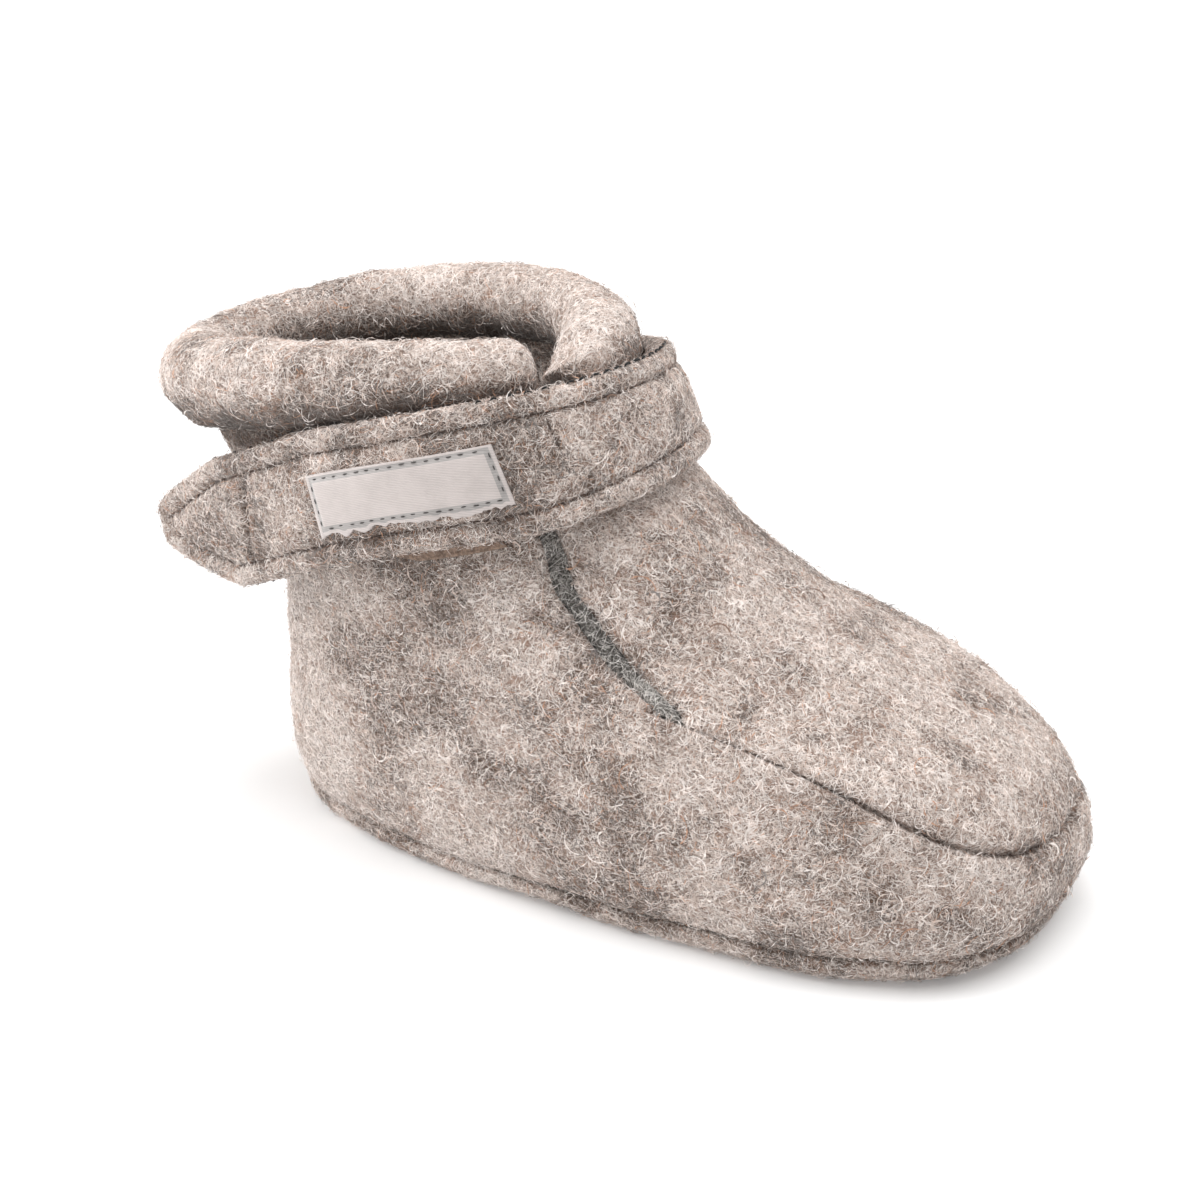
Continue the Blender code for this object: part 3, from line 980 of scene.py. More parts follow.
@dataclass(frozen=True)
class Fuzz:
    """Loose wavy hairs on felted wool. Each is a narrow ribbon of triangles."""

    per_mm2: float
    length: float = 2.5
    width: float = 0.065
    curl: float = 0.27
    lift: float = 0.2
    stray_share: float = 0.05
    stray_lift: float = 0.32
    joints: int = 7
    hair: tuple[HairFinish, ...] = WOOL_HAIR

    def strands(self, patch: Patch, rng: np.random.Generator) -> tuple[Array, Array, Array]:
        """Bend a hair at each place.

        Args:
            patch: places and directions.
            rng: source of the random numbers.

        Returns:
            Points, triangles and the number of each triangle's colour.
        """
        count, joints = len(patch.points), self.joints
        along = np.linspace(0.0, 1.0, joints)
        normal = patch.normals
        side = unit(np.cross(normal, rng.normal(size=(count, 3))))
        ahead = np.cross(side, normal)
        length = self.length * np.clip(rng.lognormal(0.0, 0.35, count), 0.4, 2.0)
        bend = np.clip(rng.normal(0.0, self.curl, count), -1.7 * self.curl, 1.7 * self.curl)
        wave = rng.normal(0.0, 0.4, count)
        phase = rng.uniform(0.0, 2 * math.pi, count)
        reach = (along - 0.5) * length[:, None]
        heading = bend[:, None] * reach + wave[:, None] * np.sin(4.0 * along + phase[:, None])
        step = length[:, None] / (joints - 1)
        first, second = np.cumsum(np.cos(heading) * step, axis=1), np.cumsum(np.sin(heading) * step, axis=1)
        first, second = first - first.mean(1, keepdims=True), second - second.mean(1, keepdims=True)
        lift = self.lift * rng.gamma(2.0, 0.5, count)
        height = lift[:, None] * (1.0 - (2.0 * along - 1.0) ** 2) - 0.06
        stray = rng.random(count) < self.stray_share
        height[stray] = np.outer(self.stray_lift * rng.gamma(2.0, 0.5, stray.sum()), along ** 1.6) - 0.06
        roll = np.where(stray, rng.uniform(0, math.pi, count), rng.normal(0.0, 0.5, count))[:, None, None]
        flat = -np.sin(heading)[..., None] * ahead[:, None] + np.cos(heading)[..., None] * side[:, None]
        across = np.cos(roll) * flat + np.sin(roll) * normal[:, None]
        half = 0.5 * self.width * rng.uniform(0.6, 1.35, count)[:, None] * np.where(np.arange(joints) % 2, 1.0, -1.0)
        half[:, 0] *= 0.4
        half[:, -1] *= 0.4
        points = (
            patch.points[:, None]
            + first[..., None] * ahead[:, None]
            + second[..., None] * side[:, None]
            + height[..., None] * normal[:, None]
            + half[..., None] * across
        ).reshape(-1, 3)
        points[:, 2] = np.maximum(points[:, 2], FLOOR_CLEAR)
        strip = np.array([(j, j + 1, j + 2) if j % 2 == 0 else (j + 1, j, j + 2) for j in range(joints - 2)])
        corners = (np.arange(count)[:, None, None] * joints + strip).reshape(-1, 3)
        limits = np.cumsum([hair.share for hair in self.hair])
        # Hair colour follows the surface's tone, with its painted shade and highlight
        draw = rng.random(count) * limits[-1] + 0.3 * patch.tone
        colour = np.clip(np.searchsorted(limits, draw), 0, len(self.hair) - 1)
        # Stray and raised hairs take the palest colour: painted light, standing in for light passing through the hair
        colour[stray | (lift > 0.6)] = len(self.hair) - 1
        return points, corners, np.repeat(colour, joints - 2)

    def cover(self, bench: Workbench, name: str, shell: Shell, slots: Sequence[int], seed: int, slot: Slot) -> None:
        """Grow hairs on the faces of a shell that have some finishes, as one more piece.

        Args:
            bench: where the finished piece goes.
            name: the piece's name.
            shell: surface that the hairs grow on.
            slots: finishes of the faces that take part.
            seed: start of the random numbers.
            slot: material slot of the record.
        """
        rng = np.random.default_rng(seed)
        points, corners, colours = self.strands(shell.sample(self.per_mm2, slots, rng), rng)
        made = bench.put_triangles(name, points, corners, colours, self.hair, slot)
        made.visible_shadow = False  # wool hair lets light through


@dataclass(frozen=True)
class Stitching:
    """A row of sewn stitches, each a short thread with both ends in the cloth."""

    stitch: float = 2.0
    gap: float = 0.9
    radius: float = 0.17
    rise: float = 0.16
    sides: int = 6
    rings: int = 5

    def sew(self, line: Array, out: Array, rng: np.random.Generator) -> tuple[Array, list[Face]]:
        """Lay stitches along a line.

        Args:
            line: points of the line, in order.
            out: directions away from the cloth at those points.
            rng: source of the small differences between stitches.

        Returns:
            Points and faces of all the stitches.
        """
        run = run_along(line)
        angle = 2 * math.pi * np.arange(self.sides) / self.sides
        turned, raised = np.cos(angle)[:, None], np.sin(angle)[:, None]
        points, faces = [], []
        start = 0.5 * self.gap
        while start + self.stitch < run[-1]:
            length = self.stitch * rng.uniform(0.85, 1.1)
            share = np.linspace(0.0, 1.0, self.rings)
            place = start + share * length
            middle = np.stack([np.interp(place, run, line[:, k]) for k in range(3)], axis=1)
            normal = unit(np.stack([np.interp(place, run, out[:, k]) for k in range(3)], axis=1))
            middle = middle + normal * (self.rise * (1 - (2 * share - 1) ** 2) - 0.1)[:, None]
            middle = middle + np.cross(normal, unit(middle[-1] - middle[0])) * rng.normal(0.0, 0.05)
            ahead = unit(np.gradient(middle, axis=0))
            side = unit(np.cross(ahead, normal))
            over = np.cross(side, ahead)
            thick = self.radius * np.sqrt(np.clip(1.05 - (2 * share - 1) ** 2, 0.05, 1.0))
            ring = turned * side[:, None] + raised * over[:, None]
            faces += tube_faces(self.rings, self.sides, len(points) * self.rings * self.sides)
            points.append((middle[:, None] + thick[:, None, None] * ring).reshape(-1, 3))
            start += length + self.gap * rng.uniform(0.8, 1.25)
        return np.concatenate(points), faces


class ThreadWork:
    """Collects stitches of one thread into one piece."""

    def __init__(self, seed: int) -> None:
        """Start with no stitches.

        Args:
            seed: start of the random numbers.
        """
        self.rng = np.random.default_rng(seed)
        self.points: list[Array] = []
        self.faces: list[Face] = []

    def sew(self, stitching: Stitching, line: Array, out: Array) -> None:
        """Add a row of stitches along a line.

        Args:
            stitching: kind of stitches.
            line: points of the line, in order.
            out: directions away from the cloth there.
        """
        points, faces = stitching.sew(line, out, self.rng)
        base = sum(len(part) for part in self.points)
        self.points.append(points)
        self.faces += [tuple(corner + base for corner in face) for face in faces]

    def put(self, bench: Workbench, name: str, finish: ThreadFinish, slot: Slot) -> None:
        """Add the stitches as a piece."""
        points = np.concatenate(self.points)
        bench.put_shell(name, Shell(points, self.faces, [0] * len(self.faces), np.zeros(len(points))), [finish], slot)


def tone_of(points: Array, lumps: Lumps) -> Array:
    """Return how pale (above 0) or deep (below 0) the wool is at points, in soft patches."""
    return 0.95 * lumps.at(points, 11.0) + 1.1 * lumps.at(points + 40.0, 4.5)


def felt_relief(points: Array, lumps: Lumps, height: float) -> Array:
    """Return the uneven thickness of felted wool at points, in millimetres."""
    return height * (0.9 * lumps.at(points, 8.0) + 0.55 * lumps.at(points + 70.0, 3.2) + 0.35 * lumps.at(points, 1.6))


class Piece:
    """A sub-assembly of the boot."""

    def build(self, bench: Workbench) -> None:
        """Build the piece and put it on the bench."""
        raise NotImplementedError

    def dress(self, bench: Workbench) -> None:
        """Sew the piece and grow its loose hairs. A bare piece has none."""


class Part(Enum):
    """Parts of the wall that hold mesh rows, from the sole up."""

    LOW = "below the seam"
    SEAM = "beside the seam"
    VAMP = "from the seam to the throat"
    SHAFT = "from the throat to the rim"


class Row(NamedTuple):
    """A mesh row of the wall: its part, and how far along that part it lies."""

    part: Part
    share: float


@dataclass
class Upper(Piece):
    """Hollow wool wall: vamp and quarter with the turned seam between them, and the side opening."""

    last: Last
    lumps: Lumps
    front_cells: int = 58
    back_cells: int = 118
    low_rows: int = 22
    seam_rows: int = 25
    vamp_rows: int = 34
    shaft_rows: int = 37
    edge_steps: tuple[float, ...] = (0.3, 0.75, 1.3, 2.1)
    low_band: float = 0.6
    high_band: float = HIGH_BAND
    throat_level: float = THROAT_LEVEL
    top_level: float = 9.3
    facing_level: float = 7.9
    seam_depth: float = 1.5
    lip: float = 0.4
    crease_width: float = 0.75
    slope_share: float = 0.28
    slope_width: float = 2.6
    swell_away: float = 2.6
    swell_width: float = 1.5
    edge_depth: float = 0.8
    edge_width: float = 0.8
    foot_depth: float = 0.5
    foot_width: float = 0.05
    # Painted light in the tone: highlight on heel and toes, shadow below the strap's edge and under the collar roll
    painted_heel_highlight: float = 1.7
    painted_toe_highlight: float = 0.6
    painted_strap_shadow: float = 0.7
    strap_level: float = 6.75
    painted_roll_shadow: float = 1.5
    relief: float = 0.24
    shell: Shell = field(init=False)

    def rows(self) -> list[Row]:
        """Lay out the mesh rows from the sole seam to the rim.

        Returns:
            The rows, from the lowest up.
        """
        parts = (
            (Part.LOW, np.linspace(0.0, 1.0, self.low_rows)[:-1]),
            (Part.SEAM, np.linspace(-1.0, 1.0, self.seam_rows)),
            (Part.VAMP, np.linspace(0.0, 1.0, self.vamp_rows)[1:]),
            (Part.SHAFT, np.linspace(0.0, 1.0, self.shaft_rows)[1:]),
        )
        return [Row(part, float(share)) for part, shares in parts for share in shares]

    def level(self, row: Row, turn: Array) -> Array:
        """Find the levels of a mesh row. Rows lie close together beside the seam.

        Args:
            row: the mesh row.
            turn: turns in degrees.

        Returns:
            The row's level at each turn.
        """
        seam = self.last.seam(turn)
        low, high = seam - self.low_band, seam + self.high_band
        if row.part is Part.LOW:
            return row.share * low
        if row.part is Part.SEAM:
            reach = self.high_band if row.share > 0 else self.low_band
            return seam + math.copysign(reach * abs(row.share) ** 1.8, row.share)
        if row.part is Part.VAMP:
            return high + row.share * (self.throat_level - high)
        return np.full_like(seam, self.throat_level + row.share * (self.top_level - self.throat_level))

    def turns(self, level: float) -> tuple[Array, int, Array]:
        """Place the mesh columns of a row.

        Args:
            level: the row's level at the opening.

        Returns:
            The turns, the number of the column before the opening, and each column's distance from the
            nearest edge of the opening or from the medial seam.
        """
        middle = float(self.last.slit_turn(level))
        rate = float(self.last.turn_rate(middle, level))
        half = float(self.last.slit_half(level)) / rate
        near = np.array((0.0, *self.edge_steps)) / rate
        front = np.linspace(0.0, middle - half - near[-1], self.front_cells)[:-1]
        edge = middle - half - near[::-1]
        other = middle + half + near
        seam = 360.0 - middle
        back = np.linspace(other[-1], seam - near[-1], self.back_cells)[1:-1]
        dip = np.concatenate((seam - near[::-1], seam + near[1:]))
        medial = np.linspace(seam + near[-1], 360.0, self.front_cells)[1:-1]
        turns = np.concatenate((front, edge, other, back, dip, medial))
        opening = len(front) + len(edge) - 1
        away = np.minimum(np.abs(turns - (middle - half)), np.abs(turns - (middle + half))) * rate
        away = np.where(turns > MEDIAL, np.abs(turns - seam) * rate, away)
        return turns, opening, away

    def from_seam(self, turn: Array, level: Array) -> Array:
        """Measure how far places are from the vamp seam.

        Args:
            turn: turns in degrees.
            level: levels, in a shape that goes with the turns.

        Returns:
            Distances in millimetres, below zero under the seam.
        """
        seam = self.last.seam(turn)
        over = self.last.level_rate(turn, seam, 1.0)
        under = self.last.level_rate(turn, seam, -1.0)
        return (level - seam) * np.where(level >= seam, over, under)

    def seam_share(self, turn: Array) -> Array:
        """Find how strongly the vamp seam shows: little at the opening, none behind it.

        Args:
            turn: turns in degrees.

        Returns:
            Shares between 0 and 1.
        """
        fold = self.last.from_toe(turn)
        share = 0.52 + 0.48 * (1.0 - smooth_step(42.0, 78.0, fold))
        return share * (1.0 - smooth_step(80.0, 86.0, fold)) * (0.6 + 0.4 * smooth_step(0.0, 24.0, fold))

    def sink(self, turn: Array, level: Array, away: Array) -> Array:
        """Find how far the wool sinks at the seams and at the opening's edges.

        Args:
            turn: turns of points on the wall.
            level: their levels.
            away: their distances from the opening's edge or the medial seam.

        Returns:
            Depths in millimetres, below zero where the wool swells beside a seam.
        """
        distance = self.from_seam(turn, level)
        crease = bell(distance, self.crease_width) + self.slope_share * bell(distance, self.slope_width)
        swell = bell(np.abs(distance) - self.swell_away, self.swell_width) * np.where(distance > 0, 1.0, 0.5)
        depth = self.seam_share(turn) * (self.seam_depth * crease - self.lip * swell)
        above = smooth_step(0.0, 1.2, distance)
        beside = np.where(turn > MEDIAL, self.seam_depth, self.edge_depth) * bell(away, self.edge_width)
        return depth + above * beside + self.foot_depth * bell(level, self.foot_width)

    def shade(self, turn: Array, level: Array, skin: Array) -> Array:
        """Find the wool's tone, with painted highlight on heel and toes and painted shadow below the strap and roll.

        Args:
            turn: turns in degrees.
            level: levels, in a shape that goes with the turns.
            skin: points of the wall there.

        Returns:
            Tones, pale above 0 and deep below it.
        """
        # Painted highlight on heel and toes; painted shadow below the strap's edge and under the collar roll
        heel = self.painted_heel_highlight * (1.0 - smooth_step(10.0, 32.0, skin[:, 0]))
        toes = self.painted_toe_highlight * smooth_step(92.0, 108.0, skin[:, 0]) * smooth_step(16.0, 24.0, skin[:, 2])
        strap = self.painted_strap_shadow * bell(level - self.strap_level, 0.4)
        strap = strap * smooth_step(30.0, 50.0, turn) * (turn < 130.0)
        roll = self.painted_roll_shadow * smooth_step(7.9, 8.7, level)
        return tone_of(skin, self.lumps) + 0.12 + heel * (level < 8.5) + toes - strap - roll

    def build(self, bench: Workbench) -> None:
        """Build the wall with its lining and put it on the bench.

        Args:
            bench: where the finished piece goes.
        """
        outer, inner, tone, lining_tone, bare = [], [], [], [], []
        rows = self.rows()
        left_out, facing, columns = set(), set(), 0
        for number, row in enumerate(rows):
            nominal = float(self.level(row, np.array(SLIT_END)))
            turns, opening, away = self.turns(nominal)
            here = self.level(row, turns)
            columns = len(turns)
            skin, out = self.last.skin(turns, here), self.last.outward(turns, here)
            sunk = self.sink(turns, here, away)
            outer.append(skin + (felt_relief(skin, self.lumps, self.relief) - sunk)[:, None] * out)
            lining = self.last.wall + 0.15 * self.lumps.at(skin, 5.0)
            inner.append(skin + lining[:, None] * self.last.way_in(turns, here))
            # Darker where the wool sinks at the vamp seam and the opening's edges: painted shade in the creases
            tone.append(self.shade(turns, here, skin) - 0.5 * np.maximum(sunk, 0.0))
            lining_tone.append(tone_of(skin, self.lumps) - 0.2)
            over_seam = self.from_seam(turns, here)
            crease = 1.3 * self.seam_share(turns) * bell(over_seam, 0.55)
            edge = 0.5 * bell(away, 0.7) * (turns < MEDIAL) * (over_seam > 0.0)
            bare.append(np.clip(np.maximum(crease, edge), 0.0, 1.0))
            if nominal >= self.last.seam(SLIT_END):
                left_out.add(number * columns + opening)
            if nominal >= self.facing_level:
                facing.update(range(number * columns, (number + 1) * columns))
        faces = grid_faces(len(rows), columns, 0, True)
        kept = [number for number in range(len(faces)) if number not in left_out]
        faces = [faces[number] for number in kept]
        both = closed_sheet(faces, len(rows) * columns)
        slots = [0] * len(faces) + [2 if number in facing else 1 for number in kept]
        slots += [1] * (len(both) - len(slots))
        no_hair = np.concatenate(bare)
        self.shell = Shell(
            np.concatenate(outer + inner),
            both,
            slots,
            np.concatenate(tone + lining_tone),
            np.concatenate((no_hair, 0.0 * no_hair)),
        )
        bench.put_shell("upper_wool", self.shell, [WOOL, GREY_FELT, WOOL], Slot.WOOL, ["upper"])

    def dress(self, bench: Workbench) -> None:
        """Grow the wall's loose hairs: a short fine coat, and longer hairs over it.

        Args:
            bench: where the finished piece goes.
        """
        fine = Fuzz(2.3, length=1.7, width=0.06, curl=0.4, joints=6, stray_share=0.02)
        fine.cover(bench, "upper_hair_fine", self.shell, [0, 2], 11, Slot.WOOL)
        long = Fuzz(1.9, length=2.9, width=0.068, stray_share=0.03)
        long.cover(bench, "upper_hair_long", self.shell, [0, 2], 12, Slot.WOOL)


@dataclass
class Gusset(Piece):
    """Grey felt strip that fills the opening, a little below the wool."""

    last: Last
    lumps: Lumps
    low: float = 3.66
    high: float = 8.95
    rows: int = 90
    thick: float = 1.0
    end_depth: float = 0.5
    end_span: float = 0.12
    relief: float = 0.2
    # Cross-section: share of half the opening's width, depth below the wool
    profile: tuple[tuple[float, float], ...] = (
        (-1.8, 4.0), (-1.2, 3.8), (-0.96, 3.3), (-0.94, 2.2), (-0.91, 1.3), (-0.75, 0.75), (-0.4, 0.5), (0.0, 0.45),
        (0.4, 0.55), (0.75, 0.9), (0.91, 1.4), (0.94, 2.2), (0.96, 3.3), (1.2, 3.8), (1.8, 4.0),
    )
    shell: Shell = field(init=False)

    def build(self, bench: Workbench) -> None:
        """Build the strip and put it on the bench.

        Args:
            bench: where the finished piece goes.
        """
        level = np.linspace(self.low, self.high, self.rows)
        turn = self.last.slit_turn(level)
        half = self.last.slit_half(level) / self.last.turn_rate(turn, level)
        end = self.end_depth * (1.0 - smooth_step(self.low, self.low + self.end_span, level))
        end_seam = float(self.last.seam(SLIT_END))
        follow = np.interp(level, (end_seam + HIGH_BAND, THROAT_LEVEL), (1.0, 0.0))
        sheets = []
        for thick in (0.0, self.thick):
            sheet = []
            for share, depth in self.profile:
                at = turn + share * half
                here = level + follow * (self.last.seam(at) - end_seam)
                wall, way_in = self.last.skin(at, here), self.last.way_in(at, here)
                sunk = depth + thick + end - felt_relief(wall, self.lumps, self.relief)
                sheet.append(wall + sunk[:, None] * way_in)
            sheets.append(np.stack(sheet, axis=1).reshape(-1, 3))
        faces = grid_faces(self.rows, len(self.profile))
        both = closed_sheet(faces, len(sheets[0]))
        points = np.concatenate(sheets)
        slots = [0] * len(faces) + [1] * (len(both) - len(faces))
        # The strip is a little paler; the darkening towards its top is painted shadow under the strap
        tone = np.repeat(0.3 - 1.3 * smooth_step(5.2, 6.6, level), len(self.profile))
        tone = tone_of(points, self.lumps) + np.concatenate((tone, tone))
        self.shell = Shell(points, both, slots, tone)
        bench.put_shell("gusset_felt", self.shell, [GREY_FELT, GREY_FELT], Slot.LINING, ["throat_gusset"])

    def dress(self, bench: Workbench) -> None:
        """Grow the strip's grey hairs."""
        grey = Fuzz(9.0, length=1.9, lift=0.3, stray_share=0.1, stray_lift=0.5, hair=GREY_HAIR)
        grey.cover(bench, "gusset_hair", self.shell, [0], 21, Slot.LINING)


@dataclass
class CollarRoll(Piece):
    """Top edge of the wool, rolled outwards. Its front end unrolls into the top of the vamp."""

    last: Last
    lumps: Lumps
    # Stations: turn, radius, distance out, stretch of the outer side, sag of its lower edge
    stations: Array = field(default_factory=lambda: np.array((
        (29.5, 4.9, -0.4, 1.0, 0.0),
        (60.0, 5.4, 0.0, 1.0, 0.0),
        (100.0, 6.0, 1.2, 1.0, 0.8),
        (140.0, 6.0, 0.3, 1.0, 1.8),
        (180.0, 5.8, -0.6, 1.0, 0.4),
        (260.0, 5.5, 0.6, 1.0, 0.0),
        (315.0, 5.2, 0.3, 1.0, 0.0),
        (335.0, 5.1, 0.2, 1.18, 0.0),
        (350.0, 5.0, 0.2, 1.28, 0.0),
        (379.0, 4.9, 0.0, 1.28, 0.0),
    )))
    seat: float = 0.45
    samples: int = 1200
    steps: int = 230
    sides: int = 44
    end_rings: int = 11
    blunt: float = 3.2
    blunt_power: float = 2.4
    unroll: float = 9.0
    relief: float = 0.42
    pale: float = 0.6
    # Painted highlight on the roll's front end, painted shadow on its underside
    painted_front_highlight: float = 0.7
    painted_underside_shadow: float = 3.3
    shell: Shell = field(init=False)

    def at(self, turn: Array, column: int) -> Array:
        """Read a column of the station table at turns."""
        return np.interp(turn, self.stations[:, 0], self.stations[:, column])

    def centre(self, turn: Array) -> Array:
        """Find the roll's middle line.

        Args:
            turn: turns in degrees.

        Returns:
            A point for each turn.
        """
        rim = np.full_like(turn, self.last.rim_level)
        middle = self.last.off_wall(turn, rim, self.at(turn, 2) - self.last.wall / 2)
        return middle + (self.at(turn, 1) + self.seat)[:, None] * self.last.upward(turn, rim)

    def build(self, bench: Workbench) -> None:
        """Build the roll and put it on the bench.

        Args:
            bench: where the finished piece goes.
        """
        fine = np.linspace(self.stations[0, 0], self.stations[-1, 0], self.samples)
        line = self.centre(fine)
        run = run_along(line)
        ends = self.blunt * (1 - np.cos(np.linspace(0.04, 1.0, self.end_rings) * math.pi / 2))
        middle_part = np.linspace(self.blunt, run[-1] - self.blunt, self.steps)[1:-1]
        place = np.concatenate((ends, middle_part, run[-1] - ends[::-1]))
        turn = np.interp(place, run, fine)
        from_end = np.clip(np.minimum(place, run[-1] - place) / self.blunt, 0.0, 1.0)
        radius = self.at(turn, 1) * (1.0 - (1.0 - from_end) ** self.blunt_power) ** (1 / self.blunt_power)
        middle = self.centre(turn)
        ahead = unit(np.gradient(middle, axis=0))
        out = self.last.outward(turn, np.full_like(turn, self.last.rim_level))
        out = unit(out - np.sum(out * ahead, -1, keepdims=True) * ahead)
        over = np.cross(ahead, out)
        angle = 2 * math.pi * np.arange(self.sides) / self.sides
        stretch = self.at(turn, 3)[:, None]
        square = 2.0 + 6.0 * (stretch - 1.0) * (np.cos(angle) > 0) * (np.sin(angle) < 0)
        shape = (np.abs(np.cos(angle)) ** square + np.abs(np.sin(angle)) ** square) ** (-1.0 / square)
        sideways = shape * np.cos(angle) * np.where(np.cos(angle) > 0, stretch, 1.0)
        upright = 1.0 - 0.9 * smooth_step(run[-1] - self.unroll, run[-1], place)[:, None] * (np.sin(angle) > 0)
        hang = (self.at(turn, 4) / self.at(turn, 1))[:, None] * smooth_step(-0.1, 0.5, np.cos(angle))
        upright = upright + hang * (np.sin(angle) < 0)
        ring = sideways[..., None] * out[:, None] + (shape * np.sin(angle) * upright)[..., None] * over[:, None]
        points = middle[:, None] + radius[:, None, None] * ring
        lump = felt_relief(points, self.lumps, self.relief) * smooth_step(0.0, 0.5, from_end)[:, None]
        points = (points + lump[..., None] * ring).reshape(-1, 3)
        rows = len(place)
        faces = tube_faces(rows, self.sides)
        # Painted shadow on the roll's underside and painted highlight on its front end
        below = np.tile(smooth_step(-0.3, 0.75, -np.sin(angle)), rows)
        front = np.repeat(smooth_step(316.0, 340.0, turn), self.sides)
        tone = tone_of(points, self.lumps) + self.pale + self.painted_front_highlight * front - self.painted_underside_shadow * below
        self.shell = Shell(points, faces, [0] * len(faces), tone)
        bench.put_shell("collar_wool", self.shell, [WOOL], Slot.WOOL, ["collar_roll"])

    def dress(self, bench: Workbench) -> None:
        """Grow the roll's loose hairs."""
        loose = Fuzz(4.3, length=2.6, stray_share=0.06, stray_lift=0.36)
        loose.cover(bench, "collar_hair", self.shell, [0], 31, Slot.WOOL)


class CrossSeam(NamedTuple):
    """A line sewn across the strap: its place, how it leans, its lowest and highest side, and its depth."""

    place: float
    lean: float
    low: float
    high: float
    depth: float


@dataclass
class Strap(Piece):
    """Doubled wool strap with top-stitched edges, black thread along its raw edge, and a pointed tab."""

    last: Last
    lumps: Lumps
    # Stations: turn, level and gap of the upper edge, then of the lower edge
    stations: Array = field(default_factory=lambda: np.array((
        (-92.0, 8.80, 0.8, -102.0, 6.60, 0.8),
        (-68.0, 8.90, 1.2, -76.0, 6.95, 0.9),
        (-45.0, 9.00, 3.0, -52.0, 7.20, 0.9),
        (-24.0, 9.10, 4.6, -28.0, 7.55, 0.8),
        (0.0, 9.20, 4.8, 0.0, 7.62, 0.8),
        (24.0, 9.27, 4.4, 28.0, 7.50, 1.1),
        (42.0, 9.30, 4.0, 48.0, 7.32, 1.4),
        (58.0, 9.27, 3.5, 65.0, 7.20, 1.8),
        (74.0, 9.18, 2.9, 82.0, 7.02, 2.0),
        (90.0, 9.05, 2.3, 100.0, 6.58, 2.1),
        (104.0, 8.85, 2.0, 116.0, 6.10, 2.0),
    )))
    station_length: float = 11.5
    thick: float = 3.2
    corner: float = 0.65
    tab_reach: float = 30.0
    # Tab: distance from the tip, share of the width, how far the point turns up
    tip: Array = field(default_factory=lambda: np.array((
        (0.0, 0.12, 2.6),
        (0.5, 0.26, 2.5),
        (1.3, 0.36, 2.4),
        (2.6, 0.46, 2.2),
        (8.0, 0.70, 1.2),
        (16.0, 1.00, 0.0),
    )))
    stitch_inset: float = 3.2
    stitch_depth: float = 0.75
    stitch_width: float = 0.42
    seam_width: float = 0.55
    seam_ease: float = 0.6
    puff: float = 0.35
    puff_reach: float = 3.5
    lip: float = 0.18
    lip_inset: float = 1.6
    lip_width: float = 0.9
    relief: float = 0.22
    cross_seams: tuple[CrossSeam, ...] = (
        CrossSeam(0.35, 0.0, -6.0, 6.0, 0.5),
        CrossSeam(5.45, 0.0, 0.5, 6.0, 0.5),
        CrossSeam(17.8, -0.29, -6.4, 6.4, 0.75),
    )
    steps: int = 210
    tab_steps: int = 60
    face_cells: int = 44
    edge_cells: int = 8
    inner_cells: int = 13
    shell: Shell = field(init=False)

    @property
    def end(self) -> float:
        """Return the place where the tab starts."""
        return float(len(self.stations) - 1)

    def edges(self, place: Array) -> tuple[Array, Array]:
        """Return the lower and the upper edge of the inner face at places in stations."""
        row = np.moveaxis(smooth_rows(self.stations, place), -1, 0)
        return self.last.off_wall(row[3], row[4], row[5]), self.last.off_wall(row[0], row[1], row[2])

    def frame(self, place: Array) -> tuple[Array, Array, Array]:
        """Find the strap's own directions.

        Args:
            place: places in stations, past the last one in millimetres of the tab.

        Returns:
            The lower edge of the inner face, the way across to the upper edge, and the way out.
        """
        on_table = np.minimum(place, self.end)
        lower, upper = self.edges(on_table)
        ahead = unit(sum(self.edges(on_table + 0.02)) - sum(self.edges(on_table - 0.02)))
        across = upper - lower
        out = unit(np.cross(across, ahead))
        tab = np.maximum(place - self.end, 0.0)
        rise = np.where(place > self.end, np.interp(self.tab_reach - tab, self.tip[:, 0], self.tip[:, 2]), 0.0)
        lower = lower + tab[:, None] * ahead + rise[:, None] * unit(across)
        return lower, across, out

    def share(self, place: Array) -> Array:
        """Return the share of the strap's width that is left at a place, below one on the tab's point."""
        distance = self.tab_reach - np.maximum(place - self.end, 0.0)
        return np.interp(distance, self.tip[:, 0], self.tip[:, 1])

    def half(self, place: Array) -> Array:
        """Return half the strap's width at places."""
        return 0.5 * np.linalg.norm(self.frame(place)[1], axis=-1) * self.share(place)

    def slope(self, place: Array) -> Array:
        """Return how fast the tab's edges close in at places."""
        slope = (self.half(place - 0.2) - self.half(place + 0.2)) / 0.4
        return np.where(place > self.end + 0.2, slope, 0.0)

    def places(self) -> Array:
        """Return the places of the mesh columns."""
        tab = self.tab_reach * np.linspace(0.0, 1.0, self.tab_steps)[1:]
        return np.concatenate((np.linspace(0.0, self.end, self.steps), self.end + tab))

    def inset(self, place: Array, side: Array) -> Array:
        """Find distances from the strap's edge.

        Args:
            place: places along the strap.
            side: distances from its middle line, in the same shape.

        Returns:
            The distance from the nearest edge, square to it.
        """
        to_edge = (self.half(place) - np.abs(side)) / np.sqrt(1 + self.slope(place) ** 2)
        to_tip = self.end + self.tab_reach - place
        return np.where(place > self.end, np.minimum(to_edge, to_tip), to_edge)

    def rate(self, seam: CrossSeam) -> float:
        """Return how many millimetres one step of place covers at a seam."""
        return 1.0 if seam.place > self.end else self.station_length

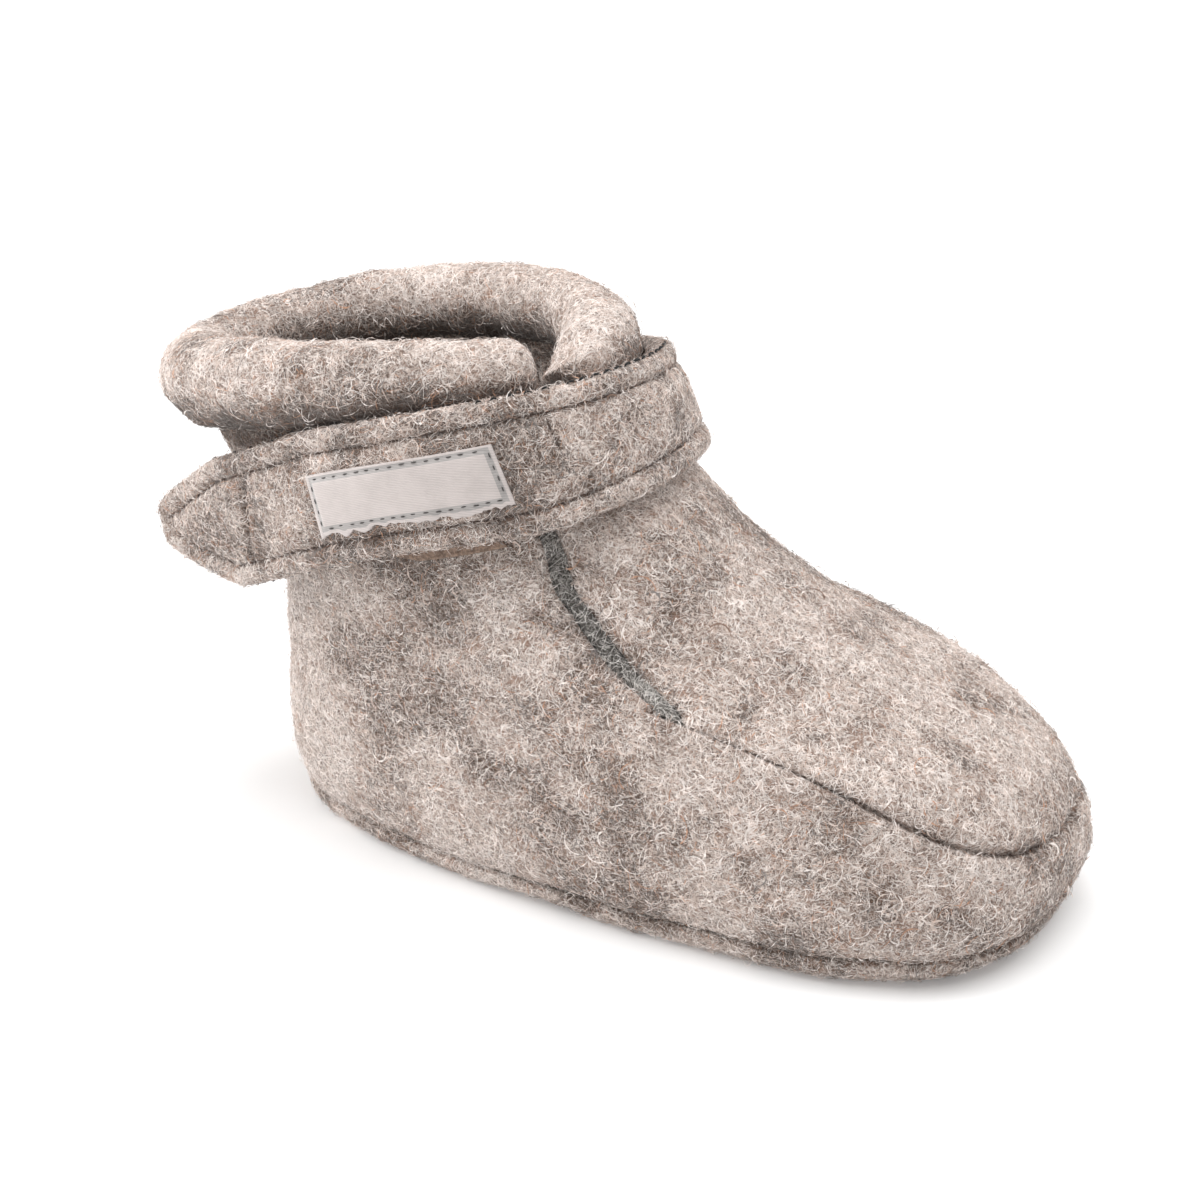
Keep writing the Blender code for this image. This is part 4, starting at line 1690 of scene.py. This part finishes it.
    def groove(self, place: Array, side: Array) -> Array:
        """Find how deep sewing pulls the outer face in.

        Args:
            place: places along the strap.
            side: distances from its middle line, in the same shape.

        Returns:
            Depths in millimetres.
        """
        depth = self.stitch_depth * bell(self.inset(place, side) - self.stitch_inset, self.stitch_width)
        for seam in self.cross_seams:
            rate = self.rate(seam)
            away = (place - seam.place) * rate - seam.lean * side
            within = smooth_step(seam.low - self.seam_ease, seam.low + self.seam_ease, side)
            within = within * (1.0 - smooth_step(seam.high - self.seam_ease, seam.high + self.seam_ease, side))
            depth = np.maximum(depth, seam.depth * bell(away, self.seam_width) * within)
        return depth

    def swell(self, place: Array, side: Array) -> Array:
        """Find how far the outer face stands above its flat form.

        Args:
            place: places along the strap.
            side: distances from its middle line, in the same shape.

        Returns:
            Heights in millimetres, below zero in a sewn groove.
        """
        inset = self.inset(place, side)
        puff = self.puff * smooth_step(self.stitch_inset, self.stitch_inset + self.puff_reach, inset)
        return puff + self.lip * bell(inset - self.lip_inset, self.lip_width) - self.groove(place, side)

    def outer(self, place: Array, side: Array, height: float = 0.0) -> Array:
        """Find points of the strap's outer face.

        Args:
            place: places along the strap.
            side: distances from its middle line, in the same shape.
            height: distance above the face.

        Returns:
            The points.
        """
        lower, across, out = self.frame(place)
        away = self.thick + self.swell(place, side) + height
        return lower + across / 2 + unit(across) * side[:, None] + out * away[:, None]

    def edge(self, place: Array, sign: float, deep: float = 0.5) -> tuple[Array, Array]:
        """Find the line of the strap's raw edge.

        Args:
            place: places along the strap.
            sign: 1 for the upper edge, -1 for the lower one.
            deep: share of the thickness, from the inner face.

        Returns:
            Points of the line, and the way out of the edge there.
        """
        lower, across, out = self.frame(place)
        way = sign * unit(across)
        return lower + across / 2 + way * self.half(place)[:, None] + out * deep * self.thick, way

    def build(self, bench: Workbench) -> None:
        """Build the strap and put it on the bench.

        Args:
            bench: where the finished piece goes.
        """
        place = self.places()
        lower, across, out = self.frame(place)
        middle, aside, half = lower + across / 2, unit(across), self.half(place)
        to_tip = self.end + self.tab_reach - place
        thin = np.sqrt(np.clip(1.0 - (1.0 - np.clip((to_tip + 0.15) / 1.6, 0.0, 1.0)) ** 2, 0.0, 1.0))
        angles = np.linspace(90.0, -90.0, self.edge_cells + 1)

        def rounded(sign: float, turns: Array) -> list[Array]:
            """Return the lines of a rounded edge: the upper one (sign 1) or the lower one (sign -1)."""
            found = []
            for turn in np.radians(turns):
                reach = half - self.corner * (1.0 - math.cos(turn))
                height = 0.5 * self.thick * (1 + thin * math.sin(turn))
                found.append((middle + sign * aside * reach[:, None] + out * height[:, None])[:, None])
            return found

        sides = np.linspace(-1.0, 1.0, self.face_cells)[None, :] * (half - self.corner)[:, None]
        swept = np.repeat(place, self.face_cells)
        swell = self.swell(swept, sides.ravel()).reshape(sides.shape)
        groove = self.groove(swept, sides.ravel()).reshape(sides.shape)
        flat = middle[:, None] + aside[:, None] * sides[..., None]
        top = 0.5 * self.thick * (1 + thin)[:, None]
        top = top + (swell + felt_relief(flat, self.lumps, self.relief)) * thin[:, None]
        inner = np.linspace(1.0, -1.0, self.inner_cells)[None, :] * (half - self.corner)[:, None]
        under = middle[:, None] + aside[:, None] * inner[..., None]
        under = under + (out * (0.5 * self.thick * (1 - thin))[:, None])[:, None]
        over = flat + out[:, None] * top[..., None]
        above, below = rounded(1.0, angles[1:-1]), rounded(-1.0, angles[-2:0:-1])
        grid = np.concatenate((over, *above, under, *below), axis=1)
        columns = grid.shape[1]
        bare = np.zeros(grid.shape[:2])
        bare[:, : self.face_cells] = np.clip(1.7 * groove / self.stitch_depth - 0.6, 0.0, 1.0)
        faces = tube_faces(len(place), columns)
        points = grid.reshape(-1, 3)
        # The strap's wool is a little deeper overall; its sewn grooves are darkened further as painted shade
        tone = tone_of(points, self.lumps) - 0.4 - bare.ravel()
        first = self.face_cells + self.edge_cells - 1
        hidden = range(first, first + self.inner_cells - 1)
        slots = [1 if column in hidden else 0 for column in range(columns)]
        self.shell = Shell(points, faces, slots * (len(place) - 1) + [0, 0], tone, bare.ravel())
        bench.put_shell("strap_wool", self.shell, [WOOL, WOOL], Slot.WOOL, ["strap"])

    def sew_face(self) -> ThreadWork:
        """Sew the outer face, along both edges and across.

        Returns:
            The stitches.
        """
        thread = ThreadWork(41)
        stitching = Stitching(stitch=1.7, gap=0.8, radius=0.15)
        tab = self.end + np.linspace(0.3, self.tab_reach - 4.6, 60)
        place = np.concatenate((np.linspace(0.4, self.end, 160), tab))
        side = np.maximum(self.half(place) - self.stitch_inset * np.sqrt(1 + self.slope(place) ** 2), 0.0)
        for sign in (-1.0, 1.0):
            thread.sew(stitching, self.outer(place, sign * side, 0.1), self.frame(place)[2])
        for seam in self.cross_seams:
            rate = self.rate(seam)
            side = np.linspace(seam.low, seam.high, 30)
            place = seam.place + seam.lean * side / rate
            thread.sew(stitching, self.outer(place, side, 0.1), self.frame(place)[2])
        return thread

    def sew_edge(self) -> ThreadWork:
        """Lay black thread on the raw edges: a line over the instep, and bits near the tab.

        Returns:
            The stitches.
        """
        thread = ThreadWork(42)
        line = Stitching(stitch=1.9, gap=0.25, radius=0.22, rise=0.3)
        thread.sew(line, *self.edge(np.linspace(3.0, 5.2, 90), 1.0, 0.84))
        broken = Stitching(stitch=1.2, gap=1.1, radius=0.18, rise=0.3)
        thread.sew(broken, *self.edge(np.linspace(5.2, 6.4, 60), 1.0, 0.84))
        bits = Stitching(stitch=1.2, gap=3.6, radius=0.15, rise=0.34)
        corner = self.end + self.tab_reach - 15.5
        tab = np.linspace(self.end + 0.1, corner, 50)
        thread.sew(bits, *self.edge(np.concatenate((np.linspace(7.7, self.end, 60), tab)), -1.0, 0.6))
        thread.sew(bits, *self.edge(np.concatenate((np.linspace(9.6, self.end, 30), tab)), 1.0, 0.6))
        return thread

    def dress(self, bench: Workbench) -> None:
        """Sew the strap and grow its loose hairs.

        Args:
            bench: where the finished piece goes.
        """
        self.sew_face().put(bench, "strap_stitches", BROWN_THREAD, Slot.WOOL)
        self.sew_edge().put(bench, "strap_edge_thread", BLACK_THREAD, Slot.LINING)
        Fuzz(6.0, length=2.3, lift=0.17).cover(bench, "strap_hair", self.shell, [0], 43, Slot.WOOL)


@dataclass
class Label(Piece):
    """Small blank satin label, sewn to the strap round its grey border, with a frayed lower edge."""

    strap: Strap
    lumps: Lumps
    first: float = 6.25
    last: float = 9.05
    low: float = 0.25
    high: float = 0.70
    length: float = 32.0
    width: float = 8.6
    thick: float = 0.45
    border: tuple[float, float] = (0.5, 1.35)
    fray_share: float = 0.12
    pull: float = 0.25
    pull_inset: float = 0.9
    pull_width: float = 0.4
    columns: int = 110
    rows: int = 34

    def point(self, along: Array, up: Array, height: Array) -> tuple[Array, Array]:
        """Find points over the label.

        Args:
            along: shares of its length, from its front end.
            up: shares of its width, from its lower edge.
            height: heights over the strap's flat face.

        Returns:
            The points, and the way out of the strap there.
        """
        lower, across, out = self.strap.frame(self.first + along * (self.last - self.first))
        share = self.low + up * (self.high - self.low)
        return lower + across * share[:, None] + out * (self.strap.thick + height)[:, None], out

    def from_edge(self, along: Array, up: Array) -> Array:
        """Return distances from the label's nearest edge. The border lies on the very edge at the top."""
        ends = np.minimum(along, 1 - along) * self.length
        return np.minimum(ends, np.minimum(up * self.width, (1 - up) * self.width + 0.35))

    def lift(self, along: Array, up: Array) -> Array:
        """Find how high the label's back lies over the strap's flat face.

        Args:
            along: shares of the label's length, from its front end.
            up: shares of its width, from its lower edge.

        Returns:
            Heights in millimetres.
        """
        flat, _ = self.point(along, up, np.zeros_like(along))
        inset = self.from_edge(along, up)
        pulled = self.pull * bell(inset - self.pull_inset, self.pull_width)
        return 0.6 + 0.35 * smooth_step(0.0, 1.4, inset) + 0.16 * self.lumps.at(flat, 5.0) - pulled

    def wool(self, along: Array, up: Array) -> Array:
        """Find how high the strap's wool stands over its flat face under the label.

        Args:
            along: shares of the label's length, from its front end.
            up: shares of its width, from its lower edge.

        Returns:
            Heights in millimetres.
        """
        place = self.first + along * (self.last - self.first)
        lower, across, _ = self.strap.frame(place)
        share = self.low + up * (self.high - self.low)
        side = (share - 0.5) * np.linalg.norm(across, axis=1)
        flat = lower + across * share[:, None]
        return self.strap.swell(place, side) + felt_relief(flat, self.lumps, self.strap.relief)

    def build(self, bench: Workbench) -> None:
        """Build the label and put it on the bench.

        Args:
            bench: where the finished piece goes.
        """
        along, up = np.meshgrid(np.linspace(0, 1, self.columns), np.linspace(0, 1, self.rows), indexing="ij")
        along, up = along.ravel(), up.ravel()
        flat, _ = self.point(along, up, np.zeros_like(along))
        inset, lift = self.from_edge(along, up), self.lift(along, up)
        fray = 0.055 * self.lumps.at(flat, 1.5) + 0.03 * self.lumps.at(flat + 9.0, 0.5)
        frayed = up + (fray - 0.02) * (1 - up / self.fray_share)
        up = np.where(up < self.fray_share, frayed, up)
        outer, _ = self.point(along, up, lift + self.thick)
        inner, _ = self.point(along, up, np.maximum(lift - 0.3, self.wool(along, up) + 0.08))
        faces = grid_faces(self.columns, self.rows)
        both = closed_sheet(faces, len(outer))
        points = np.concatenate((outer, inner))
        middle = np.array([inset[list(face)].mean() for face in faces])
        band = ((middle > self.border[0]) & (middle < self.border[1])).astype(int).tolist()
        slots = band + [0] * (len(both) - len(faces))
        shell = Shell(points, both, slots, np.zeros(len(points)))
        bench.put_shell("label_satin", shell, [SATIN, GREY_SATIN], Slot.LABEL, ["label"])

    def dress(self, bench: Workbench) -> None:
        """Sew the label's border.

        Args:
            bench: where the finished piece goes.
        """
        thread = ThreadWork(51)
        stitching = Stitching(stitch=0.85, gap=0.95, radius=0.095, rise=0.13)
        count = 60
        side, foot = 0.92 / self.length, 0.92 / self.width
        head = 1.0 - 0.57 / self.width
        ends = ((side, foot), (1 - side, foot), (1 - side, head), (side, head), (side, foot))
        for (a, b), (c, d) in zip(ends, ends[1:]):
            along, up = np.linspace(a, c, count), np.linspace(b, d, count)
            thread.sew(stitching, *self.point(along, up, self.lift(along, up) + self.thick + 0.08))
        thread.put(bench, "label_stitches", DARK_THREAD, Slot.LABEL)


@dataclass
class FasteningTape(Piece):
    """Hook-and-loop patch on the wall behind the strap."""

    last: Last
    lumps: Lumps
    # Stations: turn, lower level, upper level
    stations: Array = field(default_factory=lambda: np.array((
        (60.0, 7.08, 8.80),
        (75.0, 6.86, 8.70),
        (82.0, 6.73, 8.63),
        (90.0, 6.82, 8.55),
        (105.0, 6.60, 8.35),
    )))
    columns: int = 70
    rows: int = 36
    back_gap: float = 0.5
    front_gap: float = 1.35

    def build(self, bench: Workbench) -> None:
        """Build the patch and put it on the bench.

        Args:
            bench: where the finished piece goes.
        """
        turns, lows, highs = self.stations.T
        across = np.linspace(turns[0], turns[-1], self.columns)
        turn, share = np.meshgrid(across, np.linspace(0, 1, self.rows), indexing="ij")
        low, high = np.interp(turn, turns, lows), np.interp(turn, turns, highs)
        turn, level = turn.ravel(), (low + share * (high - low)).ravel()
        flat = self.last.skin(turn, level)
        outer = self.last.off_wall(turn, level, self.front_gap + 0.1 * self.lumps.at(flat, 0.9))
        inner = self.last.off_wall(turn, level, np.full_like(turn, self.back_gap))
        faces = closed_sheet(grid_faces(self.columns, self.rows), len(outer))
        points = np.concatenate((outer, inner))
        shell = Shell(points, faces, [0] * len(faces), np.zeros(len(points)))
        bench.put_shell("hook_tape", shell, [HOOK_TAPE], Slot.TAPE, ["fastening_tape"])


@dataclass
class Soles(Piece):
    """Soft wool sole with a rounded edge, and the felt insole on it."""

    last: Last
    lumps: Lumps
    # Edge of the sole from its top to the floor: inset, share of the height
    edge: Array = field(default_factory=lambda: np.array((
        (0.8, 1.00), (0.1, 0.84), (0.0, 0.60), (0.5, 0.34), (1.8, 0.10), (4.2, 0.00),
    )))
    edge_rows: int = 26
    columns: int = 240
    # How far the loops that fill top and underside reach from the middle line of the foot
    top_fill: tuple[float, ...] = (0.04, 0.3, 0.6, 0.85, 0.96)
    under_fill: tuple[float, ...] = (0.96, 0.88, 0.75, 0.6, 0.45, 0.3, 0.15, 0.04)
    spine: tuple[float, float] = (28.0, 96.0)
    relief: float = 0.16
    arch_lift: float = 0.8
    arch_span: tuple[float, float] = (42.0, 66.0)
    toe_spring: float = 1.6
    spring_start: float = 100.0
    seat: float = 0.3
    insole_inset: float = 3.9
    insole_thick: float = 2.0
    insole_gap: float = 0.2
    insole_sides: tuple[float, ...] = (1.7, 1.2, 0.6, 0.2, 0.0)
    insole_fill: tuple[float, ...] = (0.04, 0.2, 0.4, 0.6, 0.8, 0.93, 0.985)
    insole_under: tuple[float, ...] = (0.96, 0.5, 0.04)
    insole_relief: float = 0.2
    insole_hollow: float = 0.5
    shell: Shell = field(init=False)

    def floor_lift(self, x: Array) -> Array:
        """Find how far the underside is off the floor.

        Args:
            x: places along the foot, in millimetres.

        Returns:
            Heights in millimetres.
        """
        start, end = self.arch_span
        inside = (x > start) & (x < end)
        lift = np.where(inside, self.arch_lift * np.sin(math.pi * (x - start) / (end - start)) ** 2, 0.0)
        spring = np.maximum(x - self.spring_start, 0.0) / (self.last.foot_length - self.spring_start)
        return lift + self.toe_spring * spring ** 2

    def filled(self, loop: Array, shares: Sequence[float]) -> list[Array]:
        """Return loops that close in on the middle line of the foot."""
        spine = np.stack((np.clip(loop[:, 0], *self.spine), 0.02 * loop[:, 1], loop[:, 2]), axis=1)
        return [spine + share * (loop - spine) for share in shares]

    def pad(self, loops: list[Array], relief: float) -> Shell:
        """Close a pile of loops into a pad.

        Args:
            loops: loops of points, from the middle of the top to the middle of the underside.
            relief: height of the felt's uneven surface.

        Returns:
            The pad's surface.
        """
        points = np.stack(loops)
        ahead = np.gradient(points, axis=0)
        around = np.roll(points, -1, axis=1) - np.roll(points, 1, axis=1)
        lump = felt_relief(points, self.lumps, relief)[..., None] * unit(np.cross(around, ahead))
        points = points + np.where(points[..., 2:] < 0.4, 0.0, lump)
        count = points.shape[1]
        points = points.reshape(-1, 3)
        faces = grid_faces(len(loops), count, 0, True)
        for base in (0, (len(loops) - 1) * count):
            for column in range(count // 2):
                ring = (column, column + 1, (count - 1 - column) % count, (count - column) % count)
                corners = tuple(dict.fromkeys(base + corner for corner in ring))
                faces.append(corners if base == 0 else tuple(reversed(corners)))
        return Shell(points, faces, [0] * len(faces), tone_of(points, self.lumps))

    def build(self, bench: Workbench) -> None:
        """Build both soles and put them on the bench.

        Args:
            bench: where the finished piece goes.
        """
        turn = 360.0 * np.arange(self.columns) / self.columns
        top = self.last.skin(turn, 0.0)[:, 2] - self.seat
        loops = []
        for inset, share in smooth_rows(self.edge, np.linspace(0.0, len(self.edge) - 1.0, self.edge_rows)):
            loop = self.last.outline(turn, np.full_like(turn, inset))
            bottom = self.floor_lift(loop[:, 0])
            loop[:, 2] = bottom + np.clip(share, 0.0, 1.0) * (top - bottom)
            loops.append(loop)
        inner = self.filled(loops[0], self.top_fill)
        under = self.filled(loops[-1], self.under_fill)
        for loop in under:
            loop[:, 2] = self.floor_lift(loop[:, 0])
        self.shell = self.pad(inner + loops + under, self.relief)
        for number in range(len(inner) * self.columns, (len(inner) + len(loops)) * self.columns):
            self.shell.slots[number] = 1
        bench.put_shell("sole_wool", self.shell, [WOOL, WOOL], Slot.WOOL, ["sole"])
        edge = self.last.outline(turn, np.full_like(turn, self.insole_inset))
        edge[:, 2] = self.last.skin(turn, 0.0)[:, 2] + self.insole_gap
        sides = [edge + np.array((0.0, 0.0, height)) for height in self.insole_sides]
        crown = self.filled(edge + np.array((0.0, 0.0, self.insole_thick)), self.insole_fill)
        for loop in crown:
            loop[:, 2] -= self.insole_hollow * (1 - smooth_step(0.0, 20.0, np.abs(loop[:, 1])))
        insole = self.pad(crown + sides + self.filled(edge, self.insole_under), self.insole_relief)
        bench.put_shell("insole_felt", insole, [GREY_FELT], Slot.LINING, ["insole"])

    def dress(self, bench: Workbench) -> None:
        """Grow loose hairs round the sole's edge."""
        Fuzz(4.5, length=2.0, lift=0.18).cover(bench, "sole_hair", self.shell, [1], 61, Slot.WOOL)


@dataclass(frozen=True)
class Studio:
    """Pale floor, soft light and the camera."""

    shift: Array
    aim: Spot = (50.0, 0.0, 36.6)
    azimuth: float = 30.0
    elevation: float = 24.0
    distance: float = 430.0
    lens: float = 88.0
    sky: float = 0.46
    key_power: float = 6.2
    side_power: float = 4.4
    top_strength: float = 1.5
    back_power: float = 5.2
    fill_power: float = 0.9
    floor_half: float = 40.0

    def floor(self) -> None:
        """Lay the floor."""
        mesh = bpy.data.meshes.new("floor")
        half = self.floor_half
        mesh.from_pydata([(-half, -half, 0), (half, -half, 0), (half, half, 0), (-half, half, 0)], [], [(0, 1, 2, 3)])
        mesh.materials.append(FLOOR.make())
        made = bpy.data.objects.new("floor", mesh)
        bpy.context.scene.collection.objects.link(made)

    def light(self, name: str, place: Spot, size: float, power: float) -> None:
        """Hang one soft light that faces the boot.

        Args:
            name: the light's name.
            place: its place in metres.
            size: width of its round face in metres.
            power: its power in watts.
        """
        data = bpy.data.lights.new(name, "AREA")
        data.shape = "DISK"
        data.size = size
        data.energy = power
        self.hang(name, place, data)

    def ceiling(self, name: str, place: Spot, spread: float, strength: float) -> None:
        """Light boot and floor evenly from a wide ceiling.

        Args:
            name: the light's name.
            place: its place in metres.
            spread: how wide it shines from, in degrees.
            strength: its strength.
        """
        data = bpy.data.lights.new(name, "SUN")
        data.angle = math.radians(spread)
        data.energy = strength
        self.hang(name, place, data)

    def hang(self, name: str, place: Spot, data: bpy.types.Light) -> None:
        """Put a light at a place, facing the boot.

        Args:
            name: the light's name.
            place: its place in metres.
            data: the light.
        """
        made = bpy.data.objects.new(name, data)
        made.location = place
        made.rotation_mode = "QUATERNION"
        made.rotation_quaternion = (Vector((0.0, 0.0, 0.03)) - Vector(place)).to_track_quat("-Z", "Y")
        bpy.context.scene.collection.objects.link(made)

    def build(self) -> None:
        """Set up the floor, the light and the camera."""
        self.floor()
        world = bpy.data.worlds.new("studio")
        world.use_nodes = True
        world.node_tree.nodes["Background"].inputs["Color"].default_value = (1.0, 1.0, 1.0, 1.0)
        world.node_tree.nodes["Background"].inputs["Strength"].default_value = self.sky
        scene = bpy.context.scene
        scene.world = world
        scene.view_settings.view_transform = "Standard"
        self.light("key", (-0.90, -0.40, 0.90), 0.8, self.key_power)
        self.light("side", (-1.05, -0.30, 0.32), 0.6, self.side_power)
        self.ceiling("overhead", (0.05, 0.05, 1.3), 42.0, self.top_strength)
        self.light("back", (0.45, 0.95, 0.80), 0.8, self.back_power)
        self.light("fill", (0.80, -0.85, 0.55), 0.7, self.fill_power)
        data = bpy.data.cameras.new("camera")
        data.lens, data.sensor_width = self.lens, 36.0
        data.clip_start, data.clip_end = 0.01, 100.0
        camera = bpy.data.objects.new("camera", data)
        turn, rise = math.radians(self.azimuth), math.radians(self.elevation)
        back = Vector((math.sin(turn) * math.cos(rise), -math.cos(turn) * math.cos(rise), math.sin(rise)))
        aim = Vector((np.array(self.aim) + self.shift) * MM)
        camera.location = aim + back * self.distance * MM
        camera.rotation_mode = "QUATERNION"
        camera.rotation_quaternion = (-back).to_track_quat("-Z", "Y")
        scene.collection.objects.link(camera)
        scene.camera = camera


def frame_shift(last: Last) -> Array:
    """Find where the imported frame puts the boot.

    Args:
        last: the boot's form.

    Returns:
        The move from the boot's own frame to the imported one, in millimetres.
    """
    low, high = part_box("sole")
    turn = 360.0 * np.arange(52) / 52
    edge = last.outline(turn, np.zeros(52))
    own = 0.5 * (edge.min(axis=0) + edge.max(axis=0))
    packed = 0.5 * (np.array(low) + np.array(high)) / MM
    return np.array((packed[0] - own[0], packed[1] - own[1], low[2] / MM))


def main() -> None:
    """Build every piece of the boot in order, then the studio."""
    logging.basicConfig(level=logging.INFO, format="%(name)s: %(message)s")
    for old in list(bpy.data.objects):
        bpy.data.objects.remove(old)
    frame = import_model()
    log.info("the frame holds %d solids", len(frame["nodes"]))
    last, lumps = Last(), Lumps(7)
    shift = frame_shift(last)
    log.info("shift %s", np.round(shift, 3))
    bench = Workbench(shift)
    strap = Strap(last, lumps)
    for piece in (
        FasteningTape(last, lumps),
        Soles(last, lumps),
        Upper(last, lumps),
        Gusset(last, lumps),
        CollarRoll(last, lumps),
        strap,
        Label(strap, lumps),
    ):
        piece.build(bench)
        piece.dress(bench)
    Studio(shift).build()


if __name__ == "__main__":
    main()
